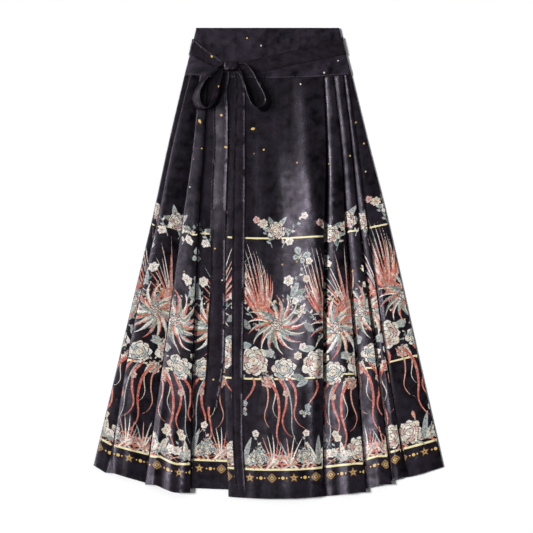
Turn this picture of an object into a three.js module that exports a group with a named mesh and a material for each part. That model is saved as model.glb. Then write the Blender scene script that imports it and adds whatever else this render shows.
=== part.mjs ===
// A long pleated wrap skirt laid flat on a surface, its waist towards +Y and its front up.
// X runs across the skirt, Z up from the surface. A drop is a distance down from the waist edge.
import * as THREE from 'three';

// Driving sizes, in millimetres
const LENGTH = 940; // waist edge to the lowest point of the hem
const WALL = 1; // thickness of the cloth
const LAYER = 1.5; // from the middle of one layer of cloth to the middle of the next
const SEAM_GAP = 0.3; // between pieces that are sewn together or lie on each other
const BAND_GAP = 0.5; // between the waistband and the panels, along the curved seam
const WAIST_HALF = 168; // half of the flat width where the waistband meets the panels
const BAND_DROP = 101.5; // waist edge to the waistband's seam, at the middle
const BAND_RISE = 8.5; // how much higher the seam lies at the sides
const BACK_TURN = 30; // the front panels run this far round behind each side
const CROWN = 1.2; // how far the middle of a pleat's face stands above its ends
const OPEN_TUCK = 20; // a tuck of minus this is a fold that has opened into a soft crease
const OPEN_TURN = 14; // how steeply the cloth still turns there, in degrees
const FOLD_LEAD = 1.5; // flat stretch beside a fold
const PANEL_ROWS = 13; // rows of faces from the waist seam to the hem
const TURN_STEPS = 3; // faces round one turn of a fold
const FACE_STEPS = 3; // faces across a pleat's face
const DOOR_STEPS = 7; // faces across the flat front door

// The columns of the fold tables: shares of the way from the waist seam to the hem
const SHARES = [0, 0.17, 0.36, 0.68, 1];

const RIGHT = 1;
const LEFT = -1;

// Each side's edge, where the cloth turns to the back, and the free edges of the two doors
const SIDE_LEFT = { x: [-167.8, -199.1, -231.1, -290.2, -350], hem: 874.6 };
const SIDE_RIGHT = { x: [165.9, 198.4, 236.3, 292.5, 350], hem: 877 };
const DOOR_EDGE = { x: [-83, -82.7, -84.3, -87.4, -80], hem: 936.4 };
const UNDER_EDGE = { x: [80, 80, 80, 80, 80], hem: 928 };
const DOOR_BOW = 4.2; // the middle of the front door hangs this much lower than its edges

// The pleats: which way each fold points, where its edge lies, how deep it is tucked (below zero
// it has opened, fully at -OPEN_TUCK), and the hem's drop before and after it
const OUTER_FOLDS = [
  { way: RIGHT, x: [110.4, 114.4, 111.1, 109, 109], tuck: [18, 22, 21, 12, -20], hem: [935.2, 935.2] },
  { way: RIGHT, x: [130.4, 144.8, 153, 173.3, 195], tuck: [10, 17, 24, 20, 14], hem: [926.6, 920.6] },
  { way: RIGHT, x: [149.1, 164.8, 179.3, 212.6, 246], tuck: [8, 10, 15, 22, 18], hem: [910.8, 904.8] },
  { way: RIGHT, x: [157, 177.1, 196, 232, 274], tuck: [1, 4, 7, 5, -20], hem: [897, 897] },
];
const INNER_FOLDS = [
  { way: LEFT, x: [-156.8, -190.4, -220.9, -277.2, -318], tuck: [8, 22, 22, 12, -20], hem: [889, 889] },
  { way: LEFT, x: [-137.1, -150.2, -172.1, -208.5, -246.6], tuck: [4.5, 6, 12, 20, 18], hem: [908.4, 912] },
  { way: RIGHT, x: [-120.2, -128.8, -139.3, -151.2, -155.8], tuck: [4, 5, 8, 20, 26], hem: [927.8, 919.4] },
];

// The back panel's hem, a little shorter than the front's
const BACK_HEM = 924;
const BACK_HEM_RISE = 44;
const BACK_STEPS = 8;

// The waistband's front layer, its two ends and its sides
const BAND_TOP_LEFT = -144.4;
const BAND_TOP_RIGHT = 141.6;
const BAND_FRONT_Z = 4.2; // middle of the front layer
const BAND_END_X = [-145, -138.5, -109, -83.4]; // the front layer's free end, from the waist edge down
const BAND_END_SHARES = [0, 0.25, 0.65, 1];
const BAND_UNDER_END = 86; // where the layer beneath ends
const BAND_ROWS = 5;
const BAND_STEPS = 6;

// The waist ties: where the upper and the lower edge lie at each step towards the knot
const TIE_Z = BAND_FRONT_Z + WALL + SEAM_GAP;
const TIE_LEFT = [
  { upperX: -150.6, upperDrop: 22.6, lowerX: -157.6, lowerDrop: 54 },
  { upperX: -131, upperDrop: 38.2, lowerX: -137, lowerDrop: 65.6 },
  { upperX: -109, upperDrop: 53.6, lowerX: -113, lowerDrop: 76.6 },
  { upperX: -91.4, upperDrop: 67.6, lowerX: -91.4, lowerDrop: 84.6 },
];
const TIE_RIGHT = [
  { upperX: 146.9, upperDrop: 19.2, lowerX: 154.8, lowerDrop: 52.8 },
  { upperX: 82.2, upperDrop: 38.4, lowerX: 107.8, lowerDrop: 61.4 },
  { upperX: 40, upperDrop: 47.6, lowerX: 64.4, lowerDrop: 70.4 },
  { upperX: 5.8, upperDrop: 55, lowerX: 29, lowerDrop: 77.6 },
  { upperX: -25, upperDrop: 61.6, lowerX: -14, lowerDrop: 86.6 },
  { upperX: -45, upperDrop: 66.6, lowerX: -41, lowerDrop: 82.6 },
  { upperX: -58.6, upperDrop: 69.6, lowerX: -58.6, lowerDrop: 83.6 },
];
// Where a tie turns down over the waistband's side: how far out, in shares, and how high
const TIE_TURN = [
  { out: 1, z: 0.7 },
  { out: 1, z: TIE_Z - 1.2 },
  { out: 0.35, z: TIE_Z - 0.15 },
];
const TIE_TURN_OUT = 1.2;
const TIE_TURN_BACK = 2; // the flat stretch starts this far in from the side

// The knot: a rounded lump with a flat underside
const KNOT = {
  x: -75,
  drop: 76.6,
  halfWidth: 14.5,
  halfDrop: 9.5,
  low: BAND_FRONT_Z + WALL / 2 + SEAM_GAP,
  high: 14.5,
  footWidth: 0.86, // the foot's share of the full width
  dome: 0.98,
  swell: 2.6,
  squareness: 0.8,
  sides: 14,
  rows: 6,
};

// The tails: left and right edge at each drop
const TAIL_SHORT = [
  { drop: 87.4, left: -87, right: -77 },
  { drop: 103.6, left: -92, right: -78 },
  { drop: 127.6, left: -99, right: -82 },
  { drop: 155.6, left: -109, right: -81 },
  { drop: 233.6, left: -109, right: -81 },
  { drop: 273.6, left: -112, right: -82 },
  { drop: 363.6, left: -115, right: -85 },
  { drop: 523.6, left: -117, right: -87 },
  { drop: 583.6, left: -121, right: -87.4 },
  { drop: 663.6, left: -123.8, right: -89.4 },
  { drop: 755, left: -131, right: -102 },
];
const TAIL_SHORT_SLANT = 4; // the end's right corner hangs lower by this
const TAIL_CLEAR = 6; // a tail still lies at the waistband's height this far below its seam
const TAIL_SIDE = 1; // a tail clears what lies this near its sides
const TAIL_LONG = [
  { drop: 87.4, left: -69, right: -59 },
  { drop: 103.6, left: -66, right: -50 },
  { drop: 131.6, left: -65.4, right: -47 },
  { drop: 167.6, left: -67, right: -46.6 },
  { drop: 239.6, left: -69, right: -46.6 },
  { drop: 309.6, left: -71, right: -46.6 },
  { drop: 439.6, left: -73, right: -48 },
  { drop: 593.6, left: -73.4, right: -50.2 },
  { drop: 681.6, left: -74, right: -51.6 },
  { drop: 823.6, left: -71.8, right: -51.2 },
  { drop: 897.6, left: -67.4, right: -47 },
  { drop: 923, left: -65.2, right: -45 },
];

// The bow's loops: the upper edge of the standing ribbon, its height and how far it leans out
const LOOP_RIGHT = {
  lean: [11, 7],
  rows: [
    { x: -59.6, drop: 81, low: 7.2, high: 13, lean: 0 },
    { x: -53, drop: 98, low: 6.8, high: 20, lean: 0.5 },
    { x: -47, drop: 120, low: 5.8, high: 28, lean: 1 },
    { x: -41, drop: 139, low: 5.8, high: 29, lean: 1 },
    { x: -34, drop: 154, low: 5.8, high: 29, lean: 1 },
    { x: -23, drop: 161, low: 5.8, high: 29, lean: 1 },
    { x: -12, drop: 157, low: 5.8, high: 29, lean: 1 },
    { x: -6, drop: 146, low: 5.8, high: 29, lean: 1 },
    { x: -9, drop: 134, low: 5.8, high: 29, lean: 1 },
    { x: -21, drop: 111, low: 5.9, high: 28, lean: 1 },
    { x: -33, drop: 88, low: 6.9, high: 26, lean: 0.9 },
    { x: -46, drop: 73.5, low: 6.9, high: 22, lean: 0.5 },
    { x: -58.6, drop: 72, low: 7.2, high: 13, lean: 0 },
  ],
};
const LOOP_LEFT = {
  lean: [-15, 3],
  rows: [
    { x: -91, drop: 73.4, low: 7.2, high: 13, lean: 0 },
    { x: -104, drop: 84, low: 6.9, high: 20, lean: 0.5 },
    { x: -120, drop: 101, low: 6.7, high: 25, lean: 0.9 },
    { x: -131, drop: 118, low: 6.7, high: 26, lean: 1 },
    { x: -136.5, drop: 137, low: 6.7, high: 26, lean: 1 },
    { x: -133, drop: 154, low: 6.7, high: 26, lean: 1 },
    { x: -123, drop: 162, low: 6.7, high: 26, lean: 1 },
    { x: -112, drop: 158, low: 6.7, high: 26, lean: 1 },
    { x: -103, drop: 144, low: 6.7, high: 26, lean: 1 },
    { x: -97, drop: 122, low: 6.7, high: 26, lean: 0.9 },
    { x: -92, drop: 100, low: 6.9, high: 20, lean: 0.5 },
    { x: -91, drop: 85.4, low: 7.2, high: 13, lean: 0 },
  ],
};

// The finishes: all of one dark satin, a little lighter on the ties
const CLOTH = { color: 0x1b1620, roughness: 0.42, metalness: 0 };
const BACK_CLOTH = { color: 0x17131b, roughness: 0.5, metalness: 0 };
const TIE_CLOTH = { color: 0x241d2a, roughness: 0.38, metalness: 0 };

const level = (k) => WALL / 2 + k * LAYER;
const mix = (a, b, t) => a + (b - a) * t;
const ease = (t) => t * t * (3 - 2 * t);

// A smooth curve through the values of a table's columns
function along(shares, values, share) {
  const last = shares.length - 1;
  let i = 0;
  while (i < last - 1 && share > shares[i + 1]) i += 1;
  const slope = (k) => {
    const a = Math.max(k - 1, 0);
    const b = Math.min(k + 1, last);
    return (values[b] - values[a]) / (shares[b] - shares[a]);
  };
  const span = shares[i + 1] - shares[i];
  const t = Math.min(Math.max((share - shares[i]) / span, 0), 1);
  const rise = values[i + 1] - values[i];
  const m0 = slope(i) * span;
  const m1 = slope(i + 1) * span;
  return values[i] + m0 * t + (3 * rise - 2 * m0 - m1) * t * t + (m0 + m1 - 2 * rise) * t * t * t;
}

const seamDrop = (x) => BAND_DROP - BAND_RISE * (x / WAIST_HALF) ** 2;
const backHem = (x) => BACK_HEM - BACK_HEM_RISE * (x / (SIDE_RIGHT.x[4] - BACK_TURN)) ** 2;

// The points round a half turn between two layers, bulging towards `bulge`
function halfTurn(x, fromZ, toZ, bulge, hem) {
  const radius = Math.abs(toZ - fromZ) / 2;
  const points = [];
  for (let i = 0; i <= TURN_STEPS; i += 1) {
    const angle = (Math.PI * i) / TURN_STEPS;
    points.push({ x: x + bulge * radius * Math.sin(angle), z: mix(fromZ, toZ, (1 - Math.cos(angle)) / 2), hem });
  }
  return points;
}

// The points through one pleat fold that points right, from the layer on top to the one beneath:
// the cloth turns down, runs back by the tuck, and turns up again. An open fold turns less.
function rightFold(edge, tuck, hem) {
  const open = ease(Math.min(Math.max(-tuck / OPEN_TUCK, 0), 1));
  const turn = THREE.MathUtils.degToRad(mix(180, OPEN_TURN, open));
  const radius = LAYER / 2;
  const fall = level(3) - level(1) - 2 * radius * (1 - Math.cos(turn));
  const run = open > 0 ? fall / Math.sin(turn) : Math.max(tuck, 0);
  const arc = [];
  for (let i = 0; i <= TURN_STEPS; i += 1) {
    const angle = (turn * i) / TURN_STEPS;
    arc.push({ x: radius * Math.sin(angle), z: radius * (1 - Math.cos(angle)) });
  }
  const foot = arc[TURN_STEPS];
  const width = 2 * foot.x + run * Math.cos(turn);
  const start = edge - mix((LAYER + WALL) / 2, width / 2, open);
  const down = arc.map((point) => ({ x: start + point.x, z: level(3) - point.z, hem: hem[0] }));
  const up = arc.map((point) => ({
    x: start + width - point.x,
    z: level(1) + point.z,
    hem: (hem[0] + hem[1]) / 2,
  })).reverse();
  const turns = [...down, ...up];
  const xs = turns.map((point) => point.x);
  return [
    { x: Math.min(...xs) - FOLD_LEAD, z: level(3), hem: hem[0] },
    ...turns,
    { x: Math.max(...xs) + FOLD_LEAD, z: level(1), hem: hem[1] },
  ];
}

// The cloth arrives from the left and leaves to the right. A left fold is a right fold's mirror image.
function foldPoints(fold, share) {
  const edge = along(SHARES, fold.x, share);
  const tuck = along(SHARES, fold.tuck, share);
  if (fold.way === RIGHT) return rightFold(edge, tuck, fold.hem);
  return rightFold(-edge, tuck, [fold.hem[1], fold.hem[0]])
    .map((point) => ({ ...point, x: -point.x }))
    .reverse();
}

// The inner points of a face between two stations, a little crowned
function facePoints(from, to, steps, crown, bow) {
  const points = [];
  for (let i = 1; i < steps; i += 1) {
    const t = i / steps;
    const arch = 4 * t * (1 - t);
    points.push({
      x: mix(from.x, to.x, t),
      z: mix(from.z, to.z, ease(t)) + crown * arch,
      hem: mix(from.hem, to.hem, t) + bow * arch,
    });
  }
  return points;
}

function joinFaces(groups, steps, crown, bows) {
  const path = [...groups[0]];
  for (let g = 1; g < groups.length; g += 1) {
    path.push(...facePoints(path[path.length - 1], groups[g][0], steps[g - 1], crown, bows[g - 1]));
    path.push(...groups[g]);
  }
  return path;
}

// The side, where the cloth turns under to the back
function sideTurn(side, share) {
  const sign = Math.sign(side.x[0]);
  const x = along(SHARES, side.x, share) - (sign * (LAYER + WALL)) / 2;
  const back = along(SHARES, side.x, share) - sign * BACK_TURN;
  const points = [
    ...halfTurn(x, level(1), level(0), sign, side.hem),
    { x: back, z: level(0), hem: backHem(side.x[4] - sign * BACK_TURN) },
  ];
  return sign > 0 ? points : points.reverse();
}

function outerPath(share) {
  const crown = CROWN * Math.min(share * 4, 1);
  const groups = [
    [{ x: along(SHARES, DOOR_EDGE.x, share), z: level(2), hem: DOOR_EDGE.hem }],
    ...OUTER_FOLDS.map((fold) => foldPoints(fold, share)),
    sideTurn(SIDE_RIGHT, share),
  ];
  return joinFaces(groups, [DOOR_STEPS, FACE_STEPS, FACE_STEPS, 2, FACE_STEPS], crown, [DOOR_BOW, 0, 0, 0, 0]);
}

function innerPath(share) {
  const crown = CROWN * Math.min(share * 4, 1);
  const groups = [
    sideTurn(SIDE_LEFT, share),
    ...INNER_FOLDS.map((fold) => foldPoints(fold, share)),
  ];
  const path = joinFaces(groups, [FACE_STEPS, FACE_STEPS, FACE_STEPS], crown, [0, 0, 1.5]);
  const end = { x: along(SHARES, UNDER_EDGE.x, share), z: level(1), hem: UNDER_EDGE.hem };
  return [...path, ...facePoints(path[path.length - 1], end, FACE_STEPS, 0, 0), end];
}

function backPath(share) {
  const left = along(SHARES, SIDE_LEFT.x, share) + BACK_TURN + SEAM_GAP;
  const right = along(SHARES, SIDE_RIGHT.x, share) - BACK_TURN - SEAM_GAP;
  const points = [];
  for (let i = 0; i <= BACK_STEPS; i += 1) {
    const t = i / BACK_STEPS;
    const hemX = mix(SIDE_RIGHT.x[4] - BACK_TURN, SIDE_LEFT.x[4] + BACK_TURN, t);
    points.push({ x: mix(right, left, t), z: level(0), hem: backHem(hemX) });
  }
  return points;
}

// Closed solid from rows of rings, each ring a list of points round the wall
function loft(rings) {
  const count = rings[0].length;
  const half = count / 2;
  const positions = rings.flat().flatMap((p) => [p.x, p.y, p.z]);
  const index = [];
  const quad = (a, b, c, d) => index.push(a, b, c, a, c, d);
  for (let r = 0; r < rings.length - 1; r += 1) {
    for (let i = 0; i < count; i += 1) {
      const next = (i + 1) % count;
      quad(r * count + i, (r + 1) * count + i, (r + 1) * count + next, r * count + next);
    }
  }
  const end = (rings.length - 1) * count;
  for (let i = 0; i < half - 1; i += 1) {
    quad(i, i + 1, count - 2 - i, count - 1 - i);
    quad(end + i, end + count - 1 - i, end + count - 2 - i, end + i + 1);
  }
  const geometry = new THREE.BufferGeometry();
  geometry.setAttribute('position', new THREE.Float32BufferAttribute(positions, 3));
  geometry.setIndex(index);
  return geometry;
}

// One row of a wall: the path's points moved half a thickness out, then back along its inside
function wallRing(path, dropOf) {
  const outside = [];
  const inside = [];
  path.forEach((point, i) => {
    const before = path[Math.max(i - 1, 0)];
    const after = path[Math.min(i + 1, path.length - 1)];
    const into = new THREE.Vector2(point.x - before.x, point.z - before.z).normalize();
    const out = new THREE.Vector2(after.x - point.x, after.z - point.z).normalize();
    const tangent = into.clone().add(out).normalize();
    const reach = WALL / 2 / Math.max(tangent.dot(i === 0 ? out : into), 0.6);
    const y = LENGTH / 2 - dropOf(point, i);
    outside.push(new THREE.Vector3(point.x - tangent.y * reach, y, point.z + tangent.x * reach));
    inside.push(new THREE.Vector3(point.x + tangent.y * reach, y, point.z - tangent.x * reach));
  });
  return [...outside, ...inside.reverse()];
}

function panel(pathAt) {
  const seam = pathAt(0).map((point) => seamDrop(point.x));
  const rings = [];
  for (let r = 0; r <= PANEL_ROWS; r += 1) {
    const share = r / PANEL_ROWS;
    rings.push(wallRing(pathAt(share), (point, i) => mix(seam[i], point.hem, share)));
  }
  return loft(rings);
}

function bandPath(share) {
  const left = mix(BAND_TOP_LEFT, SIDE_LEFT.x[0], share);
  const right = mix(BAND_TOP_RIGHT, SIDE_RIGHT.x[0], share);
  const front = { x: along(BAND_END_SHARES, BAND_END_X, share), z: BAND_FRONT_Z, hem: 0 };
  const under = { x: BAND_UNDER_END, z: level(1), hem: 0 };
  const rightInset = (BAND_FRONT_Z - level(0) + WALL) / 2;
  const groups = [
    [front],
    halfTurn(right - rightInset, BAND_FRONT_Z, level(0), RIGHT, 0),
    halfTurn(left + (LAYER + WALL) / 2, level(0), level(1), LEFT, 0),
    [under],
  ];
  return joinFaces(groups, [BAND_STEPS, BAND_STEPS, BAND_STEPS], 0, [0, 0, 0]);
}

function waistband() {
  const rings = [];
  for (let r = 0; r <= BAND_ROWS; r += 1) {
    const share = r / BAND_ROWS;
    rings.push(wallRing(bandPath(share), (point) => share * (seamDrop(point.x) - BAND_GAP)));
  }
  return loft(rings);
}

// A flat ribbon: each row gives its two edges, and the wall lies half to each side
function ribbon(rows) {
  const rings = rows.map((row, i) => {
    const before = rows[Math.max(i - 1, 0)];
    const after = rows[Math.min(i + 1, rows.length - 1)];
    const middle = (r) => r.a.clone().add(r.b).multiplyScalar(0.5);
    const forward = middle(after).sub(middle(before));
    const across = row.b.clone().sub(row.a);
    const normal = forward.cross(across).normalize().multiplyScalar(WALL / 2);
    return [
      row.a.clone().add(normal), row.b.clone().add(normal),
      row.b.clone().sub(normal), row.a.clone().sub(normal),
    ];
  });
  return loft(rings);
}

const at = (x, drop, z) => new THREE.Vector3(x, LENGTH / 2 - drop, z);

function tie(rows) {
  const first = rows[0];
  const sign = Math.sign(first.upperX);
  const across = (row, dx, z) => ({
    a: at(row.upperX + dx, row.upperDrop, z),
    b: at(row.lowerX + dx, row.lowerDrop, z),
  });
  const strip = [
    ...TIE_TURN.map((step) => across(first, sign * TIE_TURN_OUT * step.out, step.z)),
    across(first, -sign * TIE_TURN_BACK, TIE_Z),
    ...rows.slice(1).map((row) => across(row, 0, TIE_Z)),
  ];
  return ribbon(sign > 0 ? strip : strip.map(({ a, b }) => ({ a: b, b: a })));
}

// The highest that the waistband and the panels reach at both ends of a row across a tail
function topUnder(row) {
  if (row.drop < BAND_DROP + TAIL_CLEAR) return BAND_FRONT_Z + WALL / 2;
  let top = level(1) + WALL / 2;
  [[outerPath, DOOR_EDGE.hem], [innerPath, INNER_FOLDS[2].hem[0]]].forEach(([pathAt, hem]) => {
    const path = pathAt(Math.min((row.drop - BAND_DROP) / (hem - BAND_DROP), 1));
    [row.left, row.right].forEach((x) => {
      for (let i = 0; i < path.length - 1; i += 1) {
        const low = Math.min(path[i].x, path[i + 1].x);
        const high = Math.max(path[i].x, path[i + 1].x);
        if (x > low - TAIL_SIDE && x < high + TAIL_SIDE) {
          top = Math.max(top, Math.max(path[i].z, path[i + 1].z) + WALL / 2);
        }
      }
    });
  });
  return top;
}

function tail(rows, slant) {
  const tops = rows.map(topUnder);
  const last = rows.length - 1;
  return ribbon(rows.map((row, i) => {
    const top = Math.max(tops[i], tops[Math.max(i - 1, 0)], tops[Math.min(i + 1, last)]);
    const z = top + SEAM_GAP + WALL / 2;
    return { a: at(row.right, row.drop + (i === last ? slant : 0), z), b: at(row.left, row.drop, z) };
  }));
}

function bowLoop(loop) {
  return ribbon(loop.rows.map((row) => ({
    a: at(row.x, row.drop, row.high),
    b: at(row.x + loop.lean[0] * row.lean, row.drop + loop.lean[1] * row.lean, row.low),
  })));
}

// The knot: an oval lump, flat where it lies on the waistband
function knot() {
  const rings = [];
  for (let r = 0; r <= KNOT.rows; r += 1) {
    const t = r / KNOT.rows;
    const width = Math.sqrt(1 - (KNOT.dome * t) ** KNOT.swell) * mix(KNOT.footWidth, 1, Math.min(t * 4, 1));
    const ring = [];
    for (let i = 0; i < KNOT.sides; i += 1) {
      const angle = (2 * Math.PI * i) / KNOT.sides;
      const square = (v) => Math.sign(v) * Math.abs(v) ** KNOT.squareness;
      const x = KNOT.x + KNOT.halfWidth * width * square(Math.cos(angle));
      const drop = KNOT.drop - KNOT.halfDrop * width * square(Math.sin(angle));
      ring.push(at(x, drop, mix(KNOT.low, KNOT.high, t)));
    }
    rings.push(ring);
  }
  return loft(rings.reverse());
}

const skirt = new THREE.Group();

function add(name, geometry, finish) {
  const mesh = new THREE.Mesh(geometry, new THREE.MeshStandardMaterial(finish));
  mesh.name = name;
  skirt.add(mesh);
}

add('back_panel', panel(backPath), BACK_CLOTH);
add('inner_panel', panel(innerPath), CLOTH);
add('outer_panel', panel(outerPath), CLOTH);
add('waistband', waistband(), CLOTH);
add('tie_left', tie(TIE_LEFT), TIE_CLOTH);
add('tie_right', tie(TIE_RIGHT), TIE_CLOTH);
add('knot', knot(), TIE_CLOTH);
add('bow_loop_left', bowLoop(LOOP_LEFT), TIE_CLOTH);
add('bow_loop_right', bowLoop(LOOP_RIGHT), TIE_CLOTH);
add('tie_tail_short', tail(TAIL_SHORT, TAIL_SHORT_SLANT), TIE_CLOTH);
add('tie_tail_long', tail(TAIL_LONG, 0), TIE_CLOTH);

export default skirt;
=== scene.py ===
"""The looks of a long pleated wrap skirt laid flat: dark satin, a printed border and a tied bow."""

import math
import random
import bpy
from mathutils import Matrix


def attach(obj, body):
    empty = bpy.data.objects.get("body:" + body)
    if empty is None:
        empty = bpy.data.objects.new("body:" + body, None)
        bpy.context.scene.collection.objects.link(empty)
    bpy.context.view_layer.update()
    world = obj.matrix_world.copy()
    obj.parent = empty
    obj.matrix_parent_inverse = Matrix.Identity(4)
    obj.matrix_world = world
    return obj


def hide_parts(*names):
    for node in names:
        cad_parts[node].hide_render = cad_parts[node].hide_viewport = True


bl_info = {
    "name": "Pleated wrap skirt",
    "version": (1, 0, 0),
    "blender": (4, 5, 0),
    "location": "View3D > Sidebar > Skirt",
    "description": "Makes a printed satin wrap skirt over its packed frame",
    "category": "Add Mesh",
}

import bpy
import numpy as np
from mathutils import Vector
from mathutils.geometry import delaunay_2d_cdt

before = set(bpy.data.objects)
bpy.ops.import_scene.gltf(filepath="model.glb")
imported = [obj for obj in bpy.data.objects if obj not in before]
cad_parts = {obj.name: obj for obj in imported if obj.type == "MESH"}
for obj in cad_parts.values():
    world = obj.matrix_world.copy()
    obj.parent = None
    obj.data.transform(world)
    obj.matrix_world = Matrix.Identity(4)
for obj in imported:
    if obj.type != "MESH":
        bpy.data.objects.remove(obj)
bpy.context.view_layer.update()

MM = 0.001

# Driving sizes in millimetres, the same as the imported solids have.
# X runs across the skirt, Z up from the surface. A drop is a distance down from the waist edge.
LENGTH = 940  # waist edge to hem
WALL = 1  # thickness of one layer of the solids
LAYER = 1.5  # from the middle of one layer to that of the next
SEAM_GAP = 0.3  # left open between pieces that lie on each other
BAND_GAP = 0.5  # from the waistband's lower edge to the panels
WAIST_HALF = 168  # half the width at the waist seam
BAND_DROP = 101.5  # where the waist seam lies in the middle
BAND_RISE = 8.5  # how much higher it lies at the sides
BACK_TURN = 30  # how far the front panels reach round to the back
OPEN_TUCK = 20  # a tuck as far below zero as this has opened wholly
OPEN_TURN = 14  # the slope of an opened tuck, in degrees
FOLD_LEAD = 1.5  # flat cloth before and after a fold
TURN_STEPS = 5
ROW_STEP = 6.5
CLOTH_LENGTH = 836  # waist seam to hem, along the middle of the front

# The columns of the fold tables: shares of the way from the waist seam to the hem
SHARES = (0, 0.17, 0.36, 0.68, 1)

RIGHT = 1
LEFT = -1

# The sides and the free edges of the panels: x down the skirt, and the hem's drop there
SIDE_LEFT = {"x": (-167.8, -199.1, -231.1, -290.2, -350), "hem": 874.6}
SIDE_RIGHT = {"x": (165.9, 198.4, 236.3, 292.5, 350), "hem": 877}
DOOR_EDGE = {"x": (-83, -82.7, -84.3, -87.4, -80), "hem": 936.4}
UNDER_EDGE = {"x": (80, 80, 80, 80, 80), "hem": 928}
DOOR_BOW = 4.2  # how much lower the middle of the front door's hem hangs than its corners
UNDER_BOW = 1.5  # the same of the pleat before the under door
DOOR_RISE = 0.45  # the share of the front door's width where it starts to rise to its pleat

# The pleats: where each fold's edge lies, how deep it is tucked (below zero it has opened), the
# hem's drop before and after it, and how far its edge stands up from the layers
OUTER_FOLDS = (
    {
        "way": RIGHT, "x": (110.4, 114.4, 111.1, 109, 109), "tuck": (18, 22, 21, 12, -20),
        "hem": (935.2, 935.2), "lift": (1, 5, 9, 8, 2),
    },
    {
        "way": RIGHT, "x": (130.4, 144.8, 153, 173.3, 195), "tuck": (10, 17, 24, 20, 14),
        "hem": (926.6, 920.6), "lift": (0.4, 1.5, 4.2, 6.4, 4),
    },
    {
        "way": RIGHT, "x": (149.1, 164.8, 179.3, 212.6, 246), "tuck": (8, 10, 15, 22, 18),
        "hem": (910.8, 904.8), "lift": (0.4, 1.2, 3.6, 6, 4),
    },
    {
        "way": RIGHT, "x": (157, 177.1, 196, 232, 274), "tuck": (1, 4, 7, 5, -20),
        "hem": (897, 897), "lift": (0, 0.8, 2.2, 3.2, 1),
    },
)
INNER_FOLDS = (
    {
        "way": LEFT, "x": (-156.8, -190.4, -220.9, -277.2, -318), "tuck": (8, 22, 22, 12, -20),
        "hem": (889, 889), "lift": (0.5, 1, 1.2, 1, 0.5),
    },
    {
        "way": LEFT, "x": (-137.1, -150.2, -172.1, -208.5, -246.6), "tuck": (4.5, 6, 12, 20, 18),
        "hem": (908.4, 912), "lift": (0.5, 1, 1.2, 1.2, 1),
    },
    {
        "way": RIGHT, "x": (-120.2, -128.8, -139.3, -151.2, -155.8), "tuck": (4, 5, 8, 20, 26),
        "hem": (927.8, 919.4), "lift": (0.8, 2.4, 3.6, 4.6, 4),
    },
)
BACK_HEM = 924  # the drop of the back's hem in its middle
BACK_HEM_RISE = 44  # how much higher it lies at its sides

# The waistband: its upper corners, its front layer and the free ends of both layers
BAND_TOP_LEFT = -144.4
BAND_TOP_RIGHT = 141.6
BAND_FRONT_Z = 4.2  # the middle of the front layer
BAND_END_X = (-145, -138.5, -109, -83.4)  # the front layer's free end, from the waist edge down
BAND_END_SHARES = (0, 0.25, 0.65, 1)
BAND_UNDER_END = 86  # where the layer beneath ends

# The ties: upper and lower edge at each step towards the knot, as x and drop
TIE_Z = BAND_FRONT_Z + WALL + SEAM_GAP
TIE_LEFT = (
    (-150.6, 22.6, -157.6, 54),
    (-131, 38.2, -137, 65.6),
    (-109, 53.6, -113, 76.6),
    (-91.4, 67.6, -91.4, 84.6),
)
TIE_RIGHT = (
    (146.9, 19.2, 154.8, 52.8),
    (82.2, 38.4, 107.8, 61.4),
    (40, 47.6, 64.4, 70.4),
    (5.8, 55, 29, 77.6),
    (-25, 61.6, -14, 86.6),
    (-45, 66.6, -41, 82.6),
    (-58.6, 69.6, -58.6, 83.6),
)
TIE_TURN = ((1, 0.7), (1, TIE_Z - 1.2), (0.35, TIE_Z - 0.15))  # round the side: share of the way out, z
TIE_TURN_OUT = 1.2
TIE_TURN_BACK = 2  # the flat stretch starts this far in from the side

# The knot: an oval lump over the crossing of the ties
KNOT = {"x": -75, "drop": 76.6, "half_width": 14.5, "half_drop": 9.5, "low": 5.0, "high": 14.5}

# The tails: drop, left edge and right edge of each row
TAIL_SHORT = (
    (87.4, -87, -77),
    (103.6, -92, -78),
    (127.6, -99, -82),
    (155.6, -109, -81),
    (233.6, -109, -81),
    (273.6, -112, -82),
    (363.6, -115, -85),
    (523.6, -117, -87),
    (583.6, -121, -87.4),
    (663.6, -123.8, -89.4),
    (755, -131, -102),
)
TAIL_LONG = (
    (87.4, -69, -59),
    (103.6, -66, -50),
    (131.6, -65.4, -47),
    (167.6, -67, -46.6),
    (239.6, -69, -46.6),
    (309.6, -71, -46.6),
    (439.6, -73, -48),
    (593.6, -73.4, -50.2),
    (681.6, -74, -51.6),
    (823.6, -71.8, -51.2),
    (897.6, -67.4, -47),
    (923, -65.2, -45),
)
TAIL_SHORT_SLANT = 4  # how much lower the right corner of its end lies
TAIL_SHORT_LIFT = 4.2  # how far its right edge stands up over its upper half

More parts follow.
